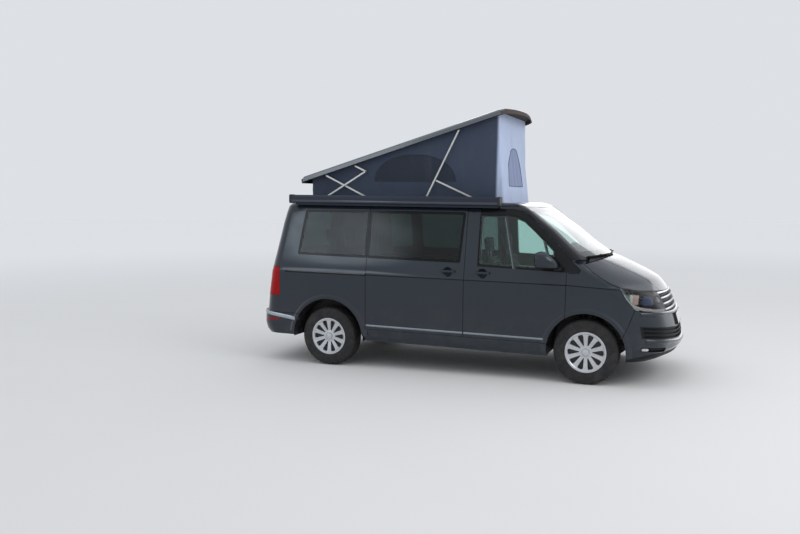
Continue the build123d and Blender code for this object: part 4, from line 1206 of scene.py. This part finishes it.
# Piece: centre, lengthwise direction, sign of the crosswise one, (length, width, thickness), sewn channels
SEAT_PADS = {
    "seat_base": ((0.765, 0, 0.898), (0.9925, 0, 0.122), 1, (0.420, 0.490, 0.115),
                  [("s", -0.140), ("s", 0.140), ("u", 0.090)]),
    "seat_back": ((0.4395, 0, 1.126), (-0.349, 0, 0.937), -1, (0.420, 0.490, 0.118),
                  [("s", -0.145), ("s", 0.145), ("u", -0.060), ("u", 0.100)]),
    "bench_base": ((-1.190, 0, 0.886), (0.999, 0, 0.042), 1, (0.500, 1.030, 0.112),
                   [("s", 0.0), ("s", -0.260), ("s", 0.260), ("u", 0.130)]),
    "bench_back": ((-1.5575, 0, 1.140), (-0.300, 0, 0.954), -1, (0.455, 1.030, 0.118),
                   [("s", 0.0), ("s", -0.260), ("s", 0.260), ("u", 0.080)]),
    "head_pad": ((0, 0, 0), (-0.120, 0, 0.993), -1, (0.175, 0.250, 0.085), [("u", -0.045)]),
}
SEAT_PLACES = [(word, (0, side * SEAT_Y, 0)) for side, word in SIDES]
BENCH_PLACES = [("rear", (0, -0.180, 0))]
HEAD_PLACES = [("front_right", (0.362, -SEAT_Y, 1.440)), ("front_left", (0.362, SEAT_Y, 1.440)),
               ("rear_right", (-1.640, -0.440, 1.490)), ("rear_left", (-1.640, 0.080, 1.490))]
PAD_PLACES = {"seat_base": SEAT_PLACES, "seat_back": SEAT_PLACES, "bench_base": BENCH_PLACES,
              "bench_back": BENCH_PLACES, "head_pad": HEAD_PLACES}
# The remesh's cell, the simulation's steps, how far a point may move, and how a sewn channel sinks in
VOXEL, SIM_STEPS, MOST_MOVE = 0.010, 20, 0.022
CHANNEL_DEEP, CHANNEL_WIDE = 0.009, 0.008
# Share of a seat's half width from which its sides have the darker cloth
SIDE_CLOTH_FROM = 0.60


def linked(name, mesh):
    made = bpy.data.objects.new(name, mesh)
    scene.collection.objects.link(made)
    return made


def evaluated(obj):
    """The mesh of an object with its modifiers applied."""
    return bpy.data.meshes.new_from_object(obj.evaluated_get(bpy.context.evaluated_depsgraph_get()))


def coordinates(mesh):
    found = np.empty(len(mesh.vertices) * 3, dtype=np.float32)
    mesh.vertices.foreach_get("co", found)
    return found.reshape(-1, 3).copy()


def pad_form(long, wide, thick):
    """A closed block with round edges whose sides pull in between its corners."""
    mesh = bmesh.new()
    bmesh.ops.create_cube(mesh, size=2.0)
    bmesh.ops.subdivide_edges(mesh, edges=list(mesh.edges), cuts=11, use_grid_fill=True)
    for v in mesh.verts:
        size = sum(abs(c) ** 7 for c in v.co) ** (1 / 7)
        u, s, w = v.co / size
        v.co = Vector((u * (1 - 0.05 * (1 - s * s)) * long * 0.475, s * (1 - 0.05 * (1 - u * u)) * wide * 0.475,
                       w * thick * 0.40))
    made = bpy.data.meshes.new("pad_form")
    mesh.to_mesh(made)
    mesh.free()
    return made


def puffed(mesh):
    """A form remeshed and blown up by cloth simulation, with no point moving further than the cap."""
    rough = linked("pad_rough", mesh)
    remesh = rough.modifiers.new("remesh", "REMESH")
    remesh.mode = "VOXEL"
    remesh.voxel_size = VOXEL
    fine = evaluated(rough)
    bpy.data.objects.remove(rough)
    soft = linked("pad_soft", fine)
    sim = soft.modifiers.new("sim", "CLOTH")
    sim.settings.quality = 4
    sim.settings.use_pressure = True
    sim.settings.uniform_pressure_force = 4.0
    sim.settings.effector_weights.gravity = 0.0
    before = coordinates(fine)
    first = scene.frame_current
    for step in range(1, SIM_STEPS + 1):
        scene.frame_set(step)
    blown = evaluated(soft)
    move = coordinates(blown) - before
    size = np.linalg.norm(move, axis=1, keepdims=True)
    move *= np.minimum(1.0, MOST_MOVE / np.maximum(size, 1e-9))
    soft.modifiers.remove(sim)
    scene.frame_set(first)
    fine.vertices.foreach_set("co", (before + move).ravel())
    fine.update()
    smooth = soft.modifiers.new("smooth", "SMOOTH")
    smooth.factor, smooth.iterations = 0.5, 3
    soft.modifiers.new("finer", "SUBSURF").levels = 1
    made = evaluated(soft)
    bpy.data.objects.remove(soft)
    return made


def pad_mesh(size, channels):
    """One cushion about its middle: points, faces and the line of its seam."""
    long, wide, thick = size
    mesh = puffed(pad_form(*size))
    points = coordinates(mesh)
    half = np.array(size) / 2
    reach = np.abs(points).max(axis=0)
    points *= np.minimum(1.0, half / reach)
    top = np.clip(points[:, 2] / half[2], 0, 1)
    for axis, value in channels:
        away = points[:, 0 if axis == "u" else 1] - value
        points[:, 2] -= CHANNEL_DEEP * top * np.exp(-(away / CHANNEL_WIDE) ** 2)
    faces = [tuple(p.vertices) for p in mesh.polygons]
    tree = BVHTree.FromPolygons([Vector(p) for p in points], faces)
    seam = []
    for a in round_turn(96):
        start = Vector((long * math.cos(a), wide * math.sin(a), thick * 0.20))
        found = tree.ray_cast(start, Vector((0, 0, thick * 0.20)) - start)
        if found[0]:
            seam.append(found[0] + found[1] * 0.0005)
    return points, faces, seam


for kind, (centre, along, turn, size, channels) in SEAT_PADS.items():
    points, faces, seam = pad_mesh(size, channels)
    for word, shift in PAD_PLACES[kind]:
        node = "rear_bench" if word.startswith("rear") else "front_seats"
        place = turned(Vector(centre) + Vector(shift), along, (0, turn, 0))
        pad = add_piece(f"{kind}_{word}", [place(*map(float, p)) for p in points], faces, seat_cloth, sharp=60)
        pad.data.materials.append(seat_side.material)
        half_wide = size[1] / 2
        if kind.startswith("seat"):
            for face, p in zip(pad.data.polygons, faces):
                if abs(points[p[0]][1]) > half_wide * SIDE_CLOTH_FROM:
                    face.material_index = 1
        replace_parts(pad, node)
        ring = seam + seam[:2]
        add_piece(f"{kind}_piping_{word}", *tube([place(*p) for p in ring], 0.0028, 6), seam_cloth, sharp=60)

# Seat frames, head pad stalks and belts

for side, word in SIDES:
    y = side * SEAT_Y
    frame_parts = [
        rounded_box((0.545, y - 0.212, 0.562), (0.895, y + 0.212, 0.770), 0.012),
        rounded_box((0.545, y - 0.215, 0.775), (0.960, y + 0.215, 0.838), 0.014),
        rounded_box((0.490, y - 0.2495, 0.850), (0.640, y - 0.2465, 0.940), 0.001),
        rounded_box((0.490, y + 0.2465, 0.850), (0.640, y + 0.2495, 0.940), 0.001),
    ]
    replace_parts(trim(f"seat_frame_{word}", frame_parts, black_plastic), "front_seats")
    belt = []
    for z in spread(0.700, 1.560, 24):
        out = 0.829 + (0.752 - 0.829) * max(0.0, (z - 0.9) / 0.6) - 0.007
        belt.append([put(x, side * y, z) for x, y in
                     ((0.200, out), (0.246, out), (0.246, out - 0.0016), (0.200, out - 0.0016))])
    trim(f"belt_{word}", [swept(belt)], belt_cloth)
    loop = turned((0.223, side * 0.738, 1.560), (1, 0, 0), (0, -side * 0.13, 1))
    guide = rounded_box((-0.034, -0.022, -0.008), (0.034, 0.022, 0.008), 0.005, loop)
    trim(f"belt_guide_{word}", [guide], black_plastic)
bench = [rounded_box((-1.470, -0.594, 0.562), (-1.005, 0.304, 0.826), 0.012),
         rounded_box((-1.004, -0.540, 0.600), (-0.996, 0.250, 0.790), 0.003)]
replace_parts(trim("bench_frame", bench, black_plastic), "rear_bench")
stalks = []
for _, (x, y, z) in HEAD_PLACES:
    for shift in (-0.055, 0.055):
        stalks.append(tube([put(x + 0.006, y + shift, z - 0.150), put(x, y + shift, z - 0.060)], 0.006, 10))
trim("head_stalks", stalks, chrome)

# Dashboard and kitchen details

hood = [rounded_box((1.228, 0.265, 1.140), (1.350, 0.535, 1.222), 0.020)]
trim("dash_hood", hood, soft_black, slot="dash_plastic")
dials = turned((1.2272, 0.400, 1.180), (0, -1, 0), (0, 0, 1))
screen_place = turned((1.2170, 0.000, 1.086), (0, -1, 0), (-0.125, 0, 1))
add_piece("dash_dials", *lozenge(dials, 0.115, 0.032, 0.0015, 4.0), black_gloss)
add_piece("dash_screen", *lozenge(screen_place, 0.105, 0.040, 0.003, 8.0), black_gloss)
vents = []
for y in (-0.680, -0.165, 0.165, 0.680):
    vent = turned((1.2175, y, 1.092), (0, -1, 0), (-0.125, 0, 1))
    vents.append(lozenge(vent, 0.046, 0.022, 0.002, 5.0, 32))
    vents += [rounded_box((-0.040, v - 0.0016, 0.002), (0.040, v + 0.0016, 0.006), 0.0006, vent)
              for v in (-0.010, -0.0035, 0.003, 0.0095)]
trim("dash_vents", vents, black_plastic, slot="dash_plastic")
LEVER_STALK = [(1.262, 1.000), (1.205, 1.030), (1.168, 1.052)]
LEVER_KNOB = [(1.172, 1.049), (1.160, 1.058), (1.146, 1.068), (1.140, 1.072)]
lever = [tube([put(x, 0.020, z) for x, z in LEVER_STALK], [0.020, 0.008, 0.008], 12),
         tube([put(x, 0.020, z) for x, z in LEVER_KNOB], [0.010, 0.022, 0.020, 0.008], 16)]
trim("gear_lever", lever, soft_black, slot="dash_plastic")
stems = [tube([put(1.160, 0.400 + 0.020 * s, 1.105), put(1.150, 0.400 + 0.185 * s, 1.125)],
              [0.008, 0.007], 10) for s in (-1, 1)]
trim("column_stems", stems, black_plastic, slot="dash_plastic")

trim("kitchen_top", [rounded_box((-1.322, 0.388, 1.1905), (-0.140, 0.782, 1.206), 0.004)], worktop)
for name, x, half_long in (("hob_lid", -0.960, 0.280), ("sink_lid", -0.420, 0.170)):
    lid = turned((x, 0.585, 1.2062), (1, 0, 0), (0, 1, 0))
    add_piece(name, *lozenge(lid, half_long, 0.150, 0.004, 8.0), black_gloss)
latch_places = [facing(Vector((x, 0.4035, 1.110)), Vector((0, -1, 0))) for x in (-1.120, -0.740, -0.360)]
latches = [lozenge(place, 0.015, 0.015, 0.006, 2.0, 24, 0.002) for place in latch_places]
trim("kitchen_latches", latches, chrome)
doors = [rounded_box((-1.860, 0.4265, low), (-1.365, 0.4295, high), 0.001) for low, high in
         ((0.600, 1.140), (1.160, 1.700))]
trim("cupboard_doors", doors, cabinet)

# Tyres with tread

TYRE_LINE = [
    (0.2034, -0.091), (0.210, -0.097), (0.218, -0.0985), (0.232, -0.102), (0.250, -0.1055), (0.268, -0.107),
    (0.288, -0.1068), (0.306, -0.104), (0.318, -0.101), (0.328, -0.097), (0.335, -0.0905),
    (0.3395, -0.083), (0.3412, -0.075), (0.3418, -0.060), (0.3418, -0.056), (0.3345, -0.0545),
    (0.3345, -0.0485), (0.3423, -0.047), (0.343, -0.022), (0.343, -0.0215), (0.3345, -0.0195),
    (0.3345, -0.0125), (0.343, -0.0105),
]
TYRE_LINE += [(r, -y) for r, y in reversed(TYRE_LINE)]
TYRE_INSIDE = [(0.2036, 0.076), (0.230, 0.086), (0.270, 0.093), (0.314, 0.088), (0.328, 0.060)]
TYRE_INSIDE += [(r, -y) for r, y in reversed(TYRE_INSIDE)]
# Steps round the tyre, radii between which its shoulder lies, and how far out the shoulder starts
TREAD_STEPS = 240
TREAD_FLOOR, TREAD_TOP, SHOULDER = 0.3345, 0.3400, 0.080


def tread_radius(k, r, y):
    """A point's radius, less where a cut runs across its rib or its shoulder."""
    far = abs(y)
    if r > TREAD_TOP and far < SHOULDER:
        shift = 0 if far < 0.02 else (2 if far > 0.05 else 1)
        return r - 0.006 if (k + shift) % 4 == 0 else r
    if TREAD_FLOOR < r < TREAD_TOP and far > SHOULDER and k % 4 == 0:
        return r - 0.004
    return r


def tyre_mesh():
    """A tyre about the wheel's middle, with grooves round it and cuts across its ribs."""
    line = TYRE_LINE + TYRE_INSIDE
    verts = []
    for k, a in enumerate(round_turn(TREAD_STEPS)):
        for r, y in line:
            radius = tread_radius(k, r, y)
            verts.append((radius * math.sin(a), y, radius * math.cos(a)))
    faces = [tuple(i % len(verts) for i in face) for face in ring_faces(TREAD_STEPS + 1, len(line))]
    return verts, faces


tyre_verts, tyre_faces = tyre_mesh()
for axle, x in AXLE_X.items():
    for y, word in ((TRACK, "left"), (-TRACK, "right")):
        placed = [(x + v[0], y + v[1], WHEEL_Z + v[2]) for v in tyre_verts]
        corner = f"{axle}_{word}"
        tyre = add_piece(f"tyre_tread_{corner}", placed, tyre_faces, tyre_rubber, f"wheel_{corner}", sharp=40)
        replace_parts(tyre, f"tyre_{corner}")

# Floor, light and camera


def floor_paint():
    """A pale floor that gets paler with distance."""
    made = Paint("floor", (0.74, 0.74, 0.735), 0.9, Specular_IOR_Level=0.1)
    made.mottle(0.6, 3, 0.3, 0.8, 0.3, (0.71, 0.71, 0.705))
    far = made.node("ShaderNodeVectorMath", {0: made.coords}, operation="LENGTH")
    made.tint(made.ramp(far.outputs["Value"], 5.0, 26.0), (0.90, 0.905, 0.91))
    return made


FAR = 60
floor_mesh = bpy.data.meshes.new("floor")
floor_mesh.from_pydata([(-FAR, -FAR, 0), (FAR, -FAR, 0), (FAR, FAR, 0), (-FAR, FAR, 0)], [], [(0, 1, 2, 3)])
floor_mesh.materials.append(floor_paint().material)
floor = bpy.data.objects.new("floor", floor_mesh)
floor.location.z = -0.0008
scene.collection.objects.link(floor)

# What the world lights with, from the horizon up, and what is seen of it straight, mirrored or through glass
SKY_COLORS = ((0.34, 0.35, 0.37, 1), (0.88, 0.905, 0.945, 1))
BACKDROP = (0.725, 0.747, 0.784, 1)
world = bpy.data.worlds.new("world")
scene.world = world
world.use_nodes = True
sky = Graph(world.node_tree)
way = sky.node("ShaderNodeTexCoord").outputs["Generated"]
height = sky.node("ShaderNodeSeparateXYZ", {0: way}).outputs["Z"]
cloudy = sky.node("ShaderNodeValToRGB", {"Fac": sky.ramp(height, -1.0, 1.0, kind="LINEAR")})
for stop, position, color in zip(cloudy.color_ramp.elements, (0.50, 0.82), SKY_COLORS):
    stop.position, stop.color = position, color
rays = sky.node("ShaderNodeLightPath").outputs
straight = sky.math("MAXIMUM", rays["Is Camera Ray"], rays["Is Glossy Ray"])
straight = sky.math("MAXIMUM", straight, rays["Is Transmission Ray"])
colors = {"A": cloudy.outputs["Color"], "B": BACKDROP}
seen = sky.node("ShaderNodeMix", {"Factor": straight, **colors}, data_type="RGBA")
background = world.node_tree.nodes["Background"]
background.inputs["Strength"].default_value = 1.0
sky.link(seen.outputs["Result"], background.inputs["Color"])


def soften(lamp):
    """Fades a lamp out toward its edges and makes it a little uneven, like a cloudy sky."""
    lamp.data.use_nodes = True
    face = Graph(lamp.data.node_tree)
    spot = face.node("ShaderNodeNewGeometry").outputs["Parametric"]
    middle = face.node("ShaderNodeVectorMath", {0: spot, 1: (0.5, 0.5, 0)}, operation="DISTANCE")
    clouds = face.node("ShaderNodeTexNoise", {"Scale": 5.0, "Vector": spot})
    fade = face.ramp(middle.outputs["Value"], 0.50, 0.22)
    uneven = face.ramp(clouds.outputs["Fac"], 0.35, 0.65, 0.70, 1.0, "LINEAR")
    strength = face.math("MULTIPLY", fade, uneven)
    face.link(strength, face.tree.nodes["Emission"].inputs["Strength"])


def area_light(name, at, target, size, power, color=(1, 1, 1)):
    data = bpy.data.lights.new(name, "AREA")
    data.shape = "RECTANGLE"
    data.size, data.size_y = size
    data.energy = power
    data.color = color
    lamp = bpy.data.objects.new(name, data)
    scene.collection.objects.link(lamp)
    lamp.location = at
    lamp.rotation_mode = "QUATERNION"
    lamp.rotation_quaternion = (Vector(target) - Vector(at)).to_track_quat("-Z", "Y")
    lamp.visible_camera = False
    lamp.visible_transmission = False
    return lamp


area_light("key", (8.5, -3.0, 7.0), (0.8, 0, 1.4), (6, 5), 260)
area_light("top", (-0.5, -1.0, 9.0), (0, 0, 1), (8, 5), 60)
far_side = area_light("far_side", (2.0, 13.0, 4.2), (0.8, 0, 1.6), (14, 6), 270)
far_side.visible_diffuse = False
window = area_light("window", (-6.3, -10.2, 4.6), (-1.2, -0.9, 1.5), (5.0, 4.2), 210, (0.78, 0.90, 1.0))
window.visible_diffuse = False
soften(window)

camera_data = bpy.data.cameras.new("camera")
camera_data.lens = 36.15
camera_data.sensor_width = 36.0
camera_data.clip_end = 300
camera = bpy.data.objects.new("camera", camera_data)
scene.collection.objects.link(camera)
# The photo's camera: its place, and its turns in radians
CAMERA_PLACE, YAW, PITCH, ROLL = Vector((2.855, -9.329, 1.946)), 0.3834, -0.0834, -0.0059
forward = Vector((-math.sin(YAW) * math.cos(PITCH), math.cos(YAW) * math.cos(PITCH), math.sin(PITCH)))
right = forward.cross(Vector((0, 0, 1))).normalized()
up = right.cross(forward)
turned_right = right * math.cos(ROLL) + up * math.sin(ROLL)
turned_up = up * math.cos(ROLL) - right * math.sin(ROLL)
turns = Matrix((turned_right, turned_up, -forward)).transposed().to_4x4()
camera.matrix_world = Matrix.Translation(CAMERA_PLACE) @ turns
scene.camera = camera
scene.view_settings.view_transform = "Standard"
